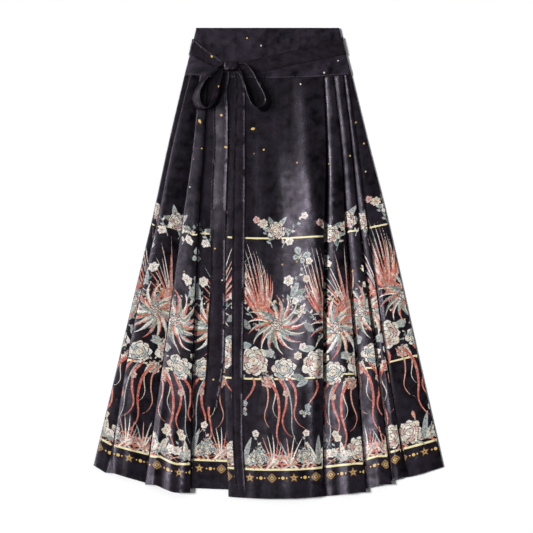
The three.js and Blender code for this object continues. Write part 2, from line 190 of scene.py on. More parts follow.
# The bow's loops: x, drop, low and high edge of the standing ribbon, and its share of the lean
LOOP_RIGHT_LEAN = (11, 7)
LOOP_RIGHT = (
    (-59.6, 81, 7.2, 13, 0),
    (-53, 98, 6.8, 20, 0.5),
    (-47, 120, 5.8, 28, 1),
    (-41, 139, 5.8, 29, 1),
    (-34, 154, 5.8, 29, 1),
    (-23, 161, 5.8, 29, 1),
    (-12, 157, 5.8, 29, 1),
    (-6, 146, 5.8, 29, 1),
    (-9, 134, 5.8, 29, 1),
    (-21, 111, 5.9, 28, 1),
    (-33, 88, 6.9, 26, 0.9),
    (-46, 73.5, 6.9, 22, 0.5),
    (-58.6, 72, 7.2, 13, 0),
)
LOOP_LEFT_LEAN = (-15, 3)
LOOP_LEFT = (
    (-91, 73.4, 7.2, 13, 0),
    (-104, 84, 6.9, 20, 0.5),
    (-120, 101, 6.7, 25, 0.9),
    (-131, 118, 6.7, 26, 1),
    (-136.5, 137, 6.7, 26, 1),
    (-133, 154, 6.7, 26, 1),
    (-123, 162, 6.7, 26, 1),
    (-112, 158, 6.7, 26, 1),
    (-103, 144, 6.7, 26, 1),
    (-97, 122, 6.7, 26, 0.9),
    (-92, 100, 6.9, 20, 0.5),
    (-91, 85.4, 7.2, 13, 0),
)

# Soft creases of the front: x at its upper and its lower end, the shares of the
# length where these ends lie, its half width and its height (below zero it is a trough)
CREASES = (
    ((70, 86), (-0.06, 0.36), 15, 3),
    ((92, 130), (0.14, 0.8), 46, 6),
    ((66, 52), (0.56, 1.2), 24, 2.6),
    ((92, 94), (0.6, 1.2), 9, 3),
    ((18, 2), (0.6, 1.2), 30, 2.4),
    ((40, 46), (0.8, 1.2), 9, 1.4),
    ((-26, -30), (0.84, 1.2), 8, 1),
    ((150, 166), (0.7, 1.2), 8, 2.6),
    ((124, 130), (0.8, 1.2), 7, 1.6),
    ((218, 222), (0.8, 1.2), 7, 1.5),
    ((296, 312), (0.78, 1.2), 8, 1.4),
    ((216, 268), (0.38, 1.2), 9, 3.2),
    ((-206, -244), (0.7, 1.2), 7, 2.4),
    ((-184, -204), (0.76, 1.2), 8, 2.2),
    ((-160, -174), (0.8, 1.2), 6, 2),
    ((-258, -296), (0.7, 1.2), 9, 2.2),
    ((-36, -28), (0.06, 0.5), 15, -1.2),
    ((8, 30), (0.12, 0.44), 18, -1.8),
)
CREASE_FADE = 0.12  # the share of the length over which an end of a crease runs out
CREASE_CLEAR = 12  # how near to the side of a face a crease starts to run out

# The crown of a pleat's face: the width from which it is whole, how much of it there is at the
# seam, the share of the length over which the rest comes in, and the steepness of its sides
CROWN_WIDTH = 52
CROWN_AT_SEAM = 0.15
CROWN_FADE = 0.16
CROWN_POWERS = (2.2, 9)

NO_LIFT = (0,) * len(SHARES)


def level(k):
    return WALL / 2 + k * LAYER


def mix(a, b, t):
    return a + (b - a) * t


def ease(t):
    t = np.clip(t, 0, 1)
    return t * t * (3 - 2 * t)


def along(values, share, shares=SHARES):
    """A smooth curve through the columns of a table."""
    columns = np.asarray(shares, float)
    heights = np.asarray(values, float)
    last = len(columns) - 1
    before = np.maximum(np.arange(last + 1) - 1, 0)
    after = np.minimum(np.arange(last + 1) + 1, last)
    slopes = (heights[after] - heights[before]) / (columns[after] - columns[before])
    i = np.clip(np.searchsorted(columns, share, side="left") - 1, 0, last - 1)
    span = columns[i + 1] - columns[i]
    t = np.clip((share - columns[i]) / span, 0, 1)
    rise = heights[i + 1] - heights[i]
    start = slopes[i] * span
    end = slopes[i + 1] * span
    bend = (3 * rise - 2 * start - end) * t**2 + (start + end - 2 * rise) * t**3
    return heights[i] + start * t + bend


def seam_drop(x):
    return BAND_DROP - BAND_RISE * (x / WAIST_HALF) ** 2


def back_hem(x):
    return BACK_HEM - BACK_HEM_RISE * (x / (SIDE_RIGHT["x"][-1] - BACK_TURN)) ** 2


def half_turn(x, from_z, to_z, bulge, hem):
    """Stations round a half turn between two layers, as x, z and the hem's drop there."""
    radius = abs(to_z - from_z) / 2
    stations = []
    for step in range(TURN_STEPS + 1):
        angle = math.pi * step / TURN_STEPS
        z = mix(from_z, to_z, (1 - math.cos(angle)) / 2)
        stations.append((x + bulge * radius * math.sin(angle), z, hem))
    return stations


def right_fold(edge, tuck, hem):
    """Stations through a pleat that points right, from the layer on top to the one beneath."""
    opened = ease(-tuck / OPEN_TUCK)
    turn = np.radians(mix(180, OPEN_TURN, opened))
    radius = LAYER / 2
    fall = level(3) - level(1) - 2 * radius * (1 - np.cos(turn))
    run = np.where(opened > 0, fall / np.maximum(np.sin(turn), 1e-6), np.maximum(tuck, 0))
    angles = [turn * step / TURN_STEPS for step in range(TURN_STEPS + 1)]
    arc = [(radius * np.sin(angle), radius * (1 - np.cos(angle))) for angle in angles]
    width = 2 * arc[-1][0] + run * np.cos(turn)
    start = edge - mix((LAYER + WALL) / 2, width / 2, opened)
    middle_hem = (hem[0] + hem[1]) / 2
    down = [(start + x, level(3) - z, hem[0]) for x, z in arc]
    up = [(start + width - x, level(1) + z, middle_hem) for x, z in reversed(arc)]
    xs = np.stack([station[0] for station in down + up])
    top_lead = xs.min(axis=0) - FOLD_LEAD
    bottom_lead = (xs.max(axis=0) + FOLD_LEAD, level(1) + 0 * edge, hem[1])
    return top_lead, down + up + [bottom_lead]


def fold_stations(fold, share):
    """The fold's stations from left to right along the cloth, and where its upper layer starts."""
    edge = along(fold["x"], share)
    tuck = along(fold["tuck"], share)
    if fold["way"] == RIGHT:
        return right_fold(edge, tuck, fold["hem"])
    top_lead, stations = right_fold(-edge, tuck, fold["hem"][::-1])
    return -top_lead, [(-x, z, hem) for x, z, hem in reversed(stations)]


class End:
    """One side of a flat stretch of cloth: where it lies, how high, and where it starts to slope."""

    def __init__(self, where, z, hem):
        self.where = where
        self.z = z
        self.hem = hem

    def x(self, share):
        return self.where(share)[0]

    def slope_start(self, share):
        return self.where(share)[1]


def free_end(edge, z):
    def where(share):
        x = along(edge["x"], share)
        return x, x
    return End(where, z, edge["hem"])


def side_end(side):
    sign = math.copysign(1, side["x"][0])

    def where(share):
        x = along(side["x"], share) - sign * (LAYER + WALL) / 2
        return x, x
    return End(where, level(1), side["hem"])


def top_end(fold):
    """Where the fold's upper layer starts to turn down."""
    index = 0 if fold["way"] == RIGHT else -1

    def where(share):
        lead, stations = fold_stations(fold, share)
        return stations[index][0], lead
    return End(where, level(3), fold["hem"][0 if fold["way"] == RIGHT else 1])


def bottom_end(fold):
    """Where the cloth comes out from beneath the fold."""
    index = -1 if fold["way"] == RIGHT else 0

    def where(share):
        x = fold_stations(fold, share)[1][index][0]
        return x, x
    return End(where, level(1), fold["hem"][1 if fold["way"] == RIGHT else 0])


class Face:
    """A stretch of cloth between two folds, with its own print coordinates p (across) and v (down)."""

    def __init__(self, left, right, anchor, start, bow=0, crown=1.5, roll=12):
        self.left = left
        self.right = right
        self.anchor = anchor  # the side whose edge is pressed, where p is the same all the way down
        self.start = start  # the value of p there
        self.bow = bow
        self.crown = crown
        self.roll = roll  # the wider a face is beside this, the narrower its rounded edges
        self.rise = 0  # the share of its width where it starts to rise to its right edge
        self.under = False
        self.lifts = (NO_LIFT, NO_LIFT)

    def p_range(self, v):
        share = v / CLOTH_LENGTH
        width = self.right.x(share) - self.left.x(share)
        if self.anchor == LEFT:
            return self.start + 0 * width, self.start + width
        return self.start - width, self.start + 0 * width

    def x_at(self, p, v):
        share = v / CLOTH_LENGTH
        end = self.left if self.anchor == LEFT else self.right
        return end.x(share) + p - self.start

    def surface(self, x, share):
        """The height of the middle of the cloth and its drop."""
        x_left, x_right = self.left.x(share), self.right.x(share)
        slope_from, slope_to = self.left.slope_start(share), self.right.slope_start(share)
        slope = np.clip((x - slope_from) / np.maximum(slope_to - slope_from, 1), 0, 1)
        across = np.clip((x - x_left) / (x_right - x_left), 0, 1)
        z = mix(self.left.z, self.right.z, ease(slope))
        hem = mix(self.left.hem, self.right.hem, slope) + self.bow * 4 * slope * (1 - slope)
        zero = 0 * share
        seam_x = mix(self.left.x(zero), self.right.x(zero), across)
        drop = mix(seam_drop(seam_x), hem, share)
        climb = ease((across - self.rise) / (1 - self.rise))
        z = z + along(self.lifts[0], share) * ease(1 - across) + along(self.lifts[1], share) * climb
        if not self.under:
            z = z + self.relief(x, share, across, x_right - x_left)
        return z, drop

    def relief(self, x, share, across, width):
        """The crown of a pleat's face and the creases that cross it."""
        rolled = 1 - np.abs(2 * across - 1) ** np.clip(width / self.roll, *CROWN_POWERS)
        height = self.crown * np.minimum(1, width / CROWN_WIDTH)
        bumps = rolled * (height * mix(CROWN_AT_SEAM, 1, ease(share / CROWN_FADE)))
        fade = ease(across * width / CREASE_CLEAR) * ease((1 - across) * width / CREASE_CLEAR)
        for (x_first, x_last), (first, last), half, peak in CREASES:
            middle = mix(x_first, x_last, (share - first) / (last - first))
            strength = ease((share - first) / CREASE_FADE) * ease((last - share) / CREASE_FADE)
            reach = np.exp(-((x - middle) / half) ** 2)
            bumps = bumps + peak * strength * reach * fade
        return bumps

    def place(self, p, v):
        share = v / CLOTH_LENGTH
        x = self.x_at(p, v)
        z, drop = self.surface(x, share)
        return np.stack([x, LENGTH / 2 - drop, z], axis=1)


def make_faces(left_end, folds, right_end, starts, bows, crowns, roll):
    """The faces between the folds of a panel. A pressed edge holds the print of the face it ends."""
    faces = []
    for i in range(len(folds) + 1):
        before = folds[i - 1] if i else None
        after = folds[i] if i < len(folds) else None
        left = left_end if before is None else (bottom_end if before["way"] == RIGHT else top_end)(before)
        right = right_end if after is None else (top_end if after["way"] == RIGHT else bottom_end)(after)
        anchor = RIGHT if (after is not None and after["way"] == RIGHT and i) else LEFT
        face = Face(left, right, anchor, starts[i], bows[i], crowns[i], roll)
        face.lifts = (
            before["lift"] if before is not None and before["way"] == LEFT else NO_LIFT,
            after["lift"] if after is not None and after["way"] == RIGHT else NO_LIFT,
        )
        faces.append(face)
    return faces


OUTER_FACES = make_faces(
    free_end(DOOR_EDGE, level(2)), OUTER_FOLDS, side_end(SIDE_RIGHT),
    starts=(0, 330, 446, 540, 620), bows=(DOOR_BOW, 0, 0, 0, 0), crowns=(1.2, 1.1, 1, 0.9, 1.2), roll=24,
)
INNER_FACES = make_faces(
    side_end(SIDE_LEFT), INNER_FOLDS, free_end(UNDER_EDGE, level(1)),
    starts=(0, 100, 330, 380), bows=(0, 0, UNDER_BOW, 0), crowns=(1.1, 1.5, 1.5, 0), roll=10,
)
INNER_FACES[-1].under = True
OUTER_FACES[0].rise = DOOR_RISE


def cloth_top(x, drop):
    """The height of the uppermost cloth's middle at a place on the panels."""
    top = np.full(np.shape(x), level(1), float)
    for face in OUTER_FACES + INNER_FACES:
        share = (drop - BAND_DROP) / CLOTH_LENGTH
        for _ in range(4):
            guess = face.surface(x, np.clip(share, 0, 1))[1]
            share = share + (drop - guess) / CLOTH_LENGTH
        share = np.clip(share, 0, 1)
        inside = (x >= face.left.x(share) - 1) & (x <= face.right.x(share) + 1)
        top = np.where(inside, np.maximum(top, face.surface(x, share)[0]), top)
    return top


def shape_mask(points, outline):
    """Which of the points lie inside a closed outline."""
    x, y = points[:, 0], points[:, 1]
    inside = np.zeros(len(points), bool)
    previous = outline[-1]
    for corner in outline:
        crosses = (corner[1] > y) != (previous[1] > y)
        if crosses.any():
            rise = previous[1] - corner[1]
            slope = (previous[0] - corner[0]) / rise if rise else 0
            inside ^= crosses & (x < corner[0] + slope * (y - corner[1]))
        previous = corner
    return inside


def thinned(points, spacing):
    """One point for each cell of a fine grid, so that no two lie almost on each other."""
    keys = np.round(points / spacing).astype(int)
    _, first = np.unique(keys, axis=0, return_index=True)
    return points[np.sort(first)]


MERGED_WITHIN = 1  # points of a patch that share a cell of this size become one
EDGE_CLEAR = 0.6  # no inner point of a patch comes nearer to its outline
COLUMN_LIMIT = 0.46  # the share of a patch's width that a column of points may lie inwards
WELDED_WITHIN = 0.03  # points of two patches that lie this near to each other become one
SHARP_ANGLE = 50  # degrees from which an edge stays sharp


def outline_points(rows, low, high, edge_step):
    """The outline of a patch: down its left side, along its end, up its right side and back."""
    def end_points(row):
        count = max(2, int((high[row] - low[row]) / edge_step))
        across = np.linspace(low[row], high[row], count + 1)[1:-1]
        return np.stack([across, np.full(len(across), rows[row])], 1)

    first, last = end_points(0), end_points(-1)
    left = np.stack([low, rows], 1)
    right = np.stack([high, rows], 1)
    return np.concatenate([left, last, right[::-1], first[::-1]])


def column_points(rows, low, high, columns):
    """Points along both sides of a patch, as far in as the columns say, where it is wide enough."""
    points = []
    for away in columns:
        wide = (high - low) * COLUMN_LIMIT > away
        for column in (low + away, high - away):
            points.append(np.stack([column, rows], 1)[wide])
    return points


def grid_points(bounds, height, step, margin):
    """Staggered rows of points all over a patch, clear of the columns along its sides."""
    points = []
    rows = np.arange(step / 2, height, step)
    low, high = bounds(rows)
    for k, row in enumerate(rows):
        shift = step / 2 if k % 2 else 0
        across = np.arange(low[k] + margin + shift, high[k] - margin, step)
        points.append(np.stack([across, np.full(len(across), row)], 1))
    return points


def inner_points(points, bounds, height):
    """The points that lie well inside a patch, thinned."""
    points = thinned(np.concatenate(points), MERGED_WITHIN)
    points = points[(points[:, 1] > EDGE_CLEAR) & (points[:, 1] < height - EDGE_CLEAR)]
    low, high = bounds(points[:, 1])
    return points[(points[:, 0] > low + EDGE_CLEAR) & (points[:, 0] < high - EDGE_CLEAR)]


class Cloth:
    """Gathers the patches and turned strips of one sheet, then makes its object."""

    def __init__(self):
        self.points = []
        self.faces = []
        self.uvs = []
        self.inks = []
        self.count = 0

    def add(self, points, faces, uvs, inks):
        self.points.append(points)
        self.faces.append(faces + self.count)
        self.uvs.append(uvs[faces])
        self.inks.append(inks)
        self.count += len(points)

    def strip(self, columns, uvs):
        """A regular strip from columns of points, all with the same number of rows."""
        grid = np.stack(columns)
        across, rows = grid.shape[:2]
        index = np.arange(across * rows).reshape(across, rows)
        a, b = index[:-1, :-1].ravel(), index[1:, :-1].ravel()
        c, d = index[1:, 1:].ravel(), index[:-1, 1:].ravel()
        faces = np.concatenate([np.stack([a, d, c], 1), np.stack([a, c, b], 1)])
        flat_uvs = np.stack(uvs).reshape(-1, 2)
        self.add(grid.reshape(-1, 3), faces, flat_uvs, np.zeros(len(faces), int))

    def strip_through(self, stations, rows, p, drop_at):
        """A strip through stations, from p on; drop_at gives the drops of a station's column."""
        columns, uvs = [], []
        previous = None
        for x, z, hem in stations:
            x, z = x + 0 * rows, z + 0 * rows
            if previous is not None:
                p = p + np.hypot(x - previous[0], z - previous[1])
            previous = (x, z)
            columns.append(np.stack([x, LENGTH / 2 - drop_at(x, hem), z], 1))
            uvs.append(np.stack([p, rows], 1) * MM)
        self.strip(columns, uvs)

    def patch(self, bounds, height, place, shapes, step=9, row_step=ROW_STEP, columns=(), edge_step=6):
        """A printed patch. bounds gives the first and last p of a row v, place the points in space."""
        rows = np.linspace(0, height, max(2, round(height / row_step) + 1))
        low, high = bounds(rows)
        chain = outline_points(rows, low, high, edge_step)
        edges = [(i, (i + 1) % len(chain)) for i in range(len(chain))]
        inner = column_points(rows, low, high, columns)
        inner += [outline for outline, ink in shapes]
        inner += grid_points(bounds, height, step, max(columns, default=0) + step * 0.5)
        every = np.concatenate([chain, inner_points(inner, bounds, height)])
        result = delaunay_2d_cdt([Vector((x, -y)) for x, y in every], edges, [], 0, 1e-5)
        flat = np.array([(p.x, -p.y) for p in result[0]])
        faces = np.array([f for f in result[2] if len(f) == 3])
        middle = flat[faces].mean(axis=1)
        low, high = bounds(middle[:, 1])
        keep = (middle[:, 0] > low) & (middle[:, 0] < high)
        inks = paint(middle[keep], shapes)
        self.add(place(flat[:, 0], flat[:, 1]), faces[keep], flat * MM, inks)

    def finish(self, part, material, thickness, slot):
        """Joins the patches, gives the cloth its thickness and lets it stand for its CAD node."""
        points = np.concatenate(self.points) * MM
        faces = np.concatenate(self.faces)
        name = part + "_cloth"
        mesh = bpy.data.meshes.new(name)
        mesh.from_pydata(points.tolist(), [], faces.tolist())
        layer = mesh.uv_layers.new(name="cloth")
        layer.data.foreach_set("uv", np.concatenate(self.uvs).reshape(-1).astype(np.float32))
        ink = mesh.color_attributes.new(name="ink", type="FLOAT_COLOR", domain="CORNER")
        colours = INK_TABLE[np.repeat(np.concatenate(self.inks), 3)]
        ink.data.foreach_set("color", colours.reshape(-1).astype(np.float32))
        mesh.materials.append(material)
        obj = bpy.data.objects.new(name, mesh)
        bpy.context.collection.objects.link(obj)
        pick(obj)
        bpy.ops.object.mode_set(mode="EDIT")
        bpy.ops.mesh.select_all(action="SELECT")
        bpy.ops.mesh.remove_doubles(threshold=WELDED_WITHIN * MM)
        bpy.ops.object.mode_set(mode="OBJECT")
        wall = obj.modifiers.new("wall", "SOLIDIFY")
        wall.thickness = thickness
        wall.offset = 0
        bpy.ops.object.modifier_apply(modifier="wall")
        bpy.ops.object.shade_smooth_by_angle(angle=math.radians(SHARP_ANGLE))
        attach(obj, "root")
        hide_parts(part)
        return obj


def paint(middle, shapes):
    """The ink of each face of a patch: that of the last shape which covers its middle."""
    inks = np.zeros(len(middle), int)
    order = np.argsort(middle[:, 1])
    rows = middle[order, 1]
    for outline, ink in shapes:
        low, high = outline.min(axis=0), outline.max(axis=0)
        first, last = np.searchsorted(rows, (low[1], high[1]))
        near = order[first:last]
        near = near[(middle[near, 0] >= low[0]) & (middle[near, 0] <= high[0])]
        if len(near):
            inks[near[shape_mask(middle[near], outline)]] = INK_NAMES.index(ink)
    return inks


def pick(obj):
    """Makes this object the only selected and active one."""
    bpy.ops.object.select_all(action="DESELECT")
    obj.select_set(True)
    bpy.context.view_layer.objects.active = obj


def linear(code):
    """A colour written as six hex digits, as linear light."""
    parts = [int(code[i:i + 2], 16) / 255 for i in (0, 2, 4)]
    return [c / 12.92 if c <= 0.04045 else ((c + 0.055) / 1.055) ** 2.4 for c in parts]


# The printing inks; "ground" leaves the dyed cloth bare, also over another ink
INKS = {
    "ground": "120d14",
    "cream": "e3dac8",
    "ivory": "f6f2ea",
    "coral": "cb513c",
    "salmon": "d98a74",
    "rose": "cfa79f",
    "teal": "678482",
    "mist": "a3b3b4",
    "sky": "8496a6",
    "moss": "84835a",
    "mustard": "bd9a48",
    "line": "e2d6a8",
    "gold": "d2ad66",
    "antique": "94734a",
}
PLAIN_INKS = ("ground", "line", "gold", "antique")
PLAIN = 0.5  # the alpha of an ink that lies even and plain; the others, at 1, carry fine detail
INK_NAMES = ["bare"] + list(INKS)
INK_TABLE = np.array(
    [[0, 0, 0, 0]] + [linear(code) + [PLAIN if ink in PLAIN_INKS else 1] for ink, code in INKS.items()]
)


def turned(points, angle, at):
    """Turns points by an angle, with zero pointing up the cloth, and moves them to a place."""
    points = np.asarray(points, float)
    turn = math.radians(angle)
    across = points[:, 0] * math.cos(turn) + points[:, 1] * math.sin(turn)
    up = points[:, 1] * math.cos(turn) - points[:, 0] * math.sin(turn)
    return np.stack([at[0] + across, at[1] - up], 1)


def sampled(corners, spacing=1.5):
    """A closed outline with more points along its long edges."""
    corners = np.asarray(corners, float)
    points = []
    for start, end in zip(corners, np.roll(corners, -1, axis=0)):
        count = max(1, round(np.linalg.norm(end - start) / spacing))
        points += [mix(start, end, k / count) for k in range(count)]
    return np.array(points)


def disc(at, radius, ink):
    """A round dot."""
    count = max(7, int(radius * 3))
    angles = np.linspace(0, 2 * math.pi, count, endpoint=False)
    return [(np.stack([at[0] + radius * np.cos(angles), at[1] + radius * np.sin(angles)], 1), ink)]


# The printed lines, as middle and half width, and the row beneath them
PRINT_LINES = ((318, 1.7), (598, 1.7), (778, 2.2))
LINE_STEP = 4
LINE_PAST_END = 20
ROW_AT = 795
ROW_PITCH = 44
STAR_NOTCH = 0.45  # how far out a star's inner corners lie
DIAMOND_CORNERS = (
    (0, -1), (0.55, -0.55), (1, 0), (0.55, 0.55), (0, 1), (-0.55, 0.55), (-1, 0), (-0.55, -0.55),
)


def line_shapes(width, start):
    """The straight gold lines all round the skirt."""
    shapes = []
    across = np.arange(start, width + LINE_PAST_END, LINE_STEP)
    for middle, half in PRINT_LINES:
        upper = np.stack([across, np.full(len(across), middle - half)], 1)
        lower = np.stack([across, np.full(len(across), middle + half)], 1)
        shapes.append((np.concatenate([upper, lower[::-1]]), "line"))
    return shapes


def star(at, radius, ink):
    """A star with five points."""
    angles = np.arange(10) * math.pi / 5
    radii = np.where(np.arange(10) % 2, STAR_NOTCH, 1) * radius
    corners = np.stack([at[0] + radii * np.sin(angles), at[1] - radii * np.cos(angles)], 1)
    return [(sampled(corners), ink)]


def diamond(at, half, ink):
    """A diamond with bent sides."""
    return [(sampled(np.array(DIAMOND_CORNERS) * half + np.array(at)), ink)]


# What the row shows in turn, each shape with its size and ink, and the dots between: place and radius
ROW_STAR = ((star, 9.5, "antique"), (star, 5, "gold"), (disc, 1.8, "ground"))
ROW_DIAMOND = (
    (diamond, 9.5, "antique"), (diamond, 6.6, "ground"), (diamond, 5.2, "mustard"), (disc, 1.5, "ground"),
)
ROW_DOTS = ((14.5, 1.6), (22, 3.4), (29.5, 1.6))


def row_shapes(width):
    """The row of stars and diamonds with three dots between each two."""
    shapes = []
    for k in range(int(width / ROW_PITCH) + 2):
        p = k * ROW_PITCH
        for make, size, ink in ROW_STAR if k % 2 else ROW_DIAMOND:
            shapes += make((p, ROW_AT), size, ink)
        for offset, radius in ROW_DOTS:
            shapes += disc((p + offset, ROW_AT), radius, "gold")
    return shapes


def steps_for(length, spacing=2.2, least=4):
    return max(least, int(length / spacing))


def petal(at, angle, length, width, ink, bend=0, widest=0.62):
    """A petal that grows from a place, bent sideways towards its tip."""
    t = np.linspace(0, 1, steps_for(length) + 1)
    half = width / 2 * np.sin(math.pi * t ** (math.log(0.5) / math.log(widest))) ** 0.8
    middle = bend * length * t**2
    right = np.stack([middle + half, t * length], 1)
    left = np.stack([middle - half, t * length], 1)[::-1]
    return [(turned(np.concatenate([right, left[1:-1]]), angle, at), ink)]


def streak(places, width, ink, root=0.5):
    """A tapered stroke along a smooth curve through a few places, widest near its root."""
    places = np.asarray(places, float)
    lengths = np.concatenate([[0], np.cumsum(np.linalg.norm(np.diff(places, axis=0), axis=1))])
    s = np.linspace(0, lengths[-1], steps_for(lengths[-1], 3, 5) + 1)
    curve = np.stack([along(places[:, k], s, lengths) for k in range(2)], 1)
    run = np.gradient(curve, axis=0)
    across = np.stack([run[:, 1], -run[:, 0]], 1) / np.linalg.norm(run, axis=1)[:, None]
    t = s / lengths[-1]
    half = width / 2 * (1 - t) ** 0.7 * np.minimum(1, root + t * 5)
    half = half[:, None]
    return [(np.concatenate([curve + across * half, (curve - across * half)[::-1][1:]]), ink)]


def sprig_curve(at, angle, length, curl):
    """Four places along a stem that starts at an angle and curls sideways."""
    local = [(curl * length * t**2.2, length * t) for t in (0, 0.35, 0.7, 1)]
    return turned(local, angle, at)


def spray(at, angle, length, count, spread, inks, width=4, curl=0.25):
    """A fan of curved blades."""
    shapes = []
    for k in range(count):
        t = k / (count - 1) - 0.5
        reach = length * (1 - 1.1 * abs(t) ** 1.6)
        curve = sprig_curve(at, angle + spread * t, reach, curl * (t * 2 + 0.3))
        shapes += streak(curve, width, inks[k % len(inks)])
    return shapes


def swirl(at, radius, count, inks, way=1, width=0.2):
    """A round bloom of long petals that all curl one way."""
    shapes = []
    for k in range(count):
        angle = 360 * k / count
        reach = radius * (1 if k % 2 else 0.84)
        curve = [
            turned([(way * radius * side, reach * out)], angle, at)[0]
            for side, out in ((0.02, 0.2), (0.14, 0.5), (0.36, 0.78), (0.62, 0.92))
        ]
        shapes += streak(curve, radius * width, inks[k % len(inks)], 0.35)
    return shapes


def blossom(at, radius, ink, heart="mustard", petals=5, angle=0, line="ground"):
    """A small open flower."""
    shapes = []
    for k in range(petals):
        turn = angle + 360 * k / petals
        shapes += petal(at, turn, radius, radius * 4.6 / petals, ink)
        if line:
            foot = turned([(0, radius * 0.25), (0, radius * 0.72)], turn, at)
            shapes += streak([foot[0], foot.mean(axis=0), foot[1]], 0.9, line)
    shapes += disc(at, radius * 0.2, heart)
    return shapes


def peony(at, radius, inks, angle=0):
    """A full flower: rings of petals, each parted from the ring beneath by a dark outline."""
    shapes = []
    for ring, (reach, petals) in enumerate(((1, 9), (0.76, 7), (0.52, 6), (0.3, 4))):
        for k in range(petals):
            turn = angle + 20 * ring + 360 * k / petals
            long = radius * reach * (1 + 0.08 * math.sin(2.3 * k + ring))
            wide = long * 5.4 / petals
            shapes += petal(at, turn, long + 0.9, wide + 1.8, "ground", widest=0.7)
            shapes += petal(at, turn, long, wide, inks[(ring + k % 2) % len(inks)], widest=0.7)
    return shapes + disc(at, radius * 0.09, "mustard")


def leaf(at, angle, length, width, ink="teal", vein="mist", bend=0.1):
    """A pointed leaf with its vein and a few side veins."""
    shapes = petal(at, angle, length, width, ink, bend, 0.45)
    midrib = [(0, 0), (bend * length * 0.25, length * 0.5), (bend * length * 0.8, length * 0.9)]
    shapes += streak(turned(midrib, angle, at), 1.3, vein)
    for t in (0.3, 0.5, 0.68):
        foot = (bend * length * t**2, length * t)
        for way in (-1, 1):
            tip = (foot[0] + way * width * 0.32, foot[1] + length * 0.14)
            middle = ((foot[0] + tip[0]) / 2, (foot[1] + tip[1]) / 2)
            shapes += streak(turned([foot, middle, tip], angle, at), 0.9, "ground")
    return shapes


def butterfly(at, size, angle, ink="mist", marks="teal"):
    """A butterfly with open wings."""
    shapes = []
    for turn, long, wide in ((48, 1, 0.62), (-48, 1, 0.62), (118, 0.66, 0.5), (-118, 0.66, 0.5)):
        shapes += petal(at, angle + turn, size * long, size * wide, ink, widest=0.68)
        inner = turned([(0, size * long * 0.3)], angle + turn, at)[0]
        shapes += petal(inner, angle + turn, size * long * 0.45, size * wide * 0.4, marks, widest=0.66)
    shapes += petal(turned([(0, -size * 0.35)], angle, at)[0], angle, size * 0.75, size * 0.12, "cream")
    for way in (-1, 1):
        feeler = [(0, size * 0.3), (way * size * 0.12, size * 0.6), (way * size * 0.3, size * 0.8)]
        shapes += streak(turned(feeler, angle, at), 0.9, ink)
    return shapes


def streamers(at, reaches, way=1):
    """Long ribbons that sweep down: start across, reach, drift, sway, width and ink of each."""
    shapes = []
    for start, reach, drift, sway, width, ink in reaches:
        curve = [
            (at[0] + way * (start + drift * down + sway * out), at[1] + reach * down)
            for out, down in ((0, 0), (-0.7, 0.2), (-0.3, 0.45), (0.75, 0.72), (0.5, 0.9), (-0.4, 1))
        ]
        shapes += streak(curve, width, ink, 0.4)
    return shapes


def vine(at, angle, length, curl, stem, leaves, bloom=None):
    """A thin curling stem with small leaves on both sides, and a bloom at its tip."""
    places = sprig_curve(at, angle, length, curl)
    shapes = streak(places, 1.6, stem, 1)
    count = max(3, int(length / 9))
    for k in range(count):
        t = (k + 0.8) / count
        foot = turned([(curl * length * t**2.2, length * t)], angle, at)[0]
        turn = angle + (46 if k % 2 else -46) + curl * 90 * t
        shapes += petal(foot, turn, 11 - 4 * t, 4.6, leaves[k % len(leaves)], 0.1, 0.45)
    if bloom:
        shapes += blossom(places[-1], 7.5, bloom, "coral", 5, angle)
    return shapes


def scatter(at, half_width, half_height, count, inks, size, seed):
    """Small dabs strewn over an oval."""
    draw = random.Random(seed)
    shapes = []
    for k in range(count):
        turn = draw.uniform(0, 2 * math.pi)
        out = math.sqrt(draw.random())
        place = (at[0] + half_width * out * math.cos(turn), at[1] + half_height * out * math.sin(turn))
        shapes += petal(place, draw.uniform(0, 360), size * draw.uniform(1.4, 2.6), size, inks[k % len(inks)])
    return shapes


def putter(shapes, p, way, sink=0):
    """Gives the function that puts a shape down at a place within one repeat of the print."""
    def put(make, x, v, *about):
        shapes.extend(make((p + way * x, v + sink), *about))

    return put


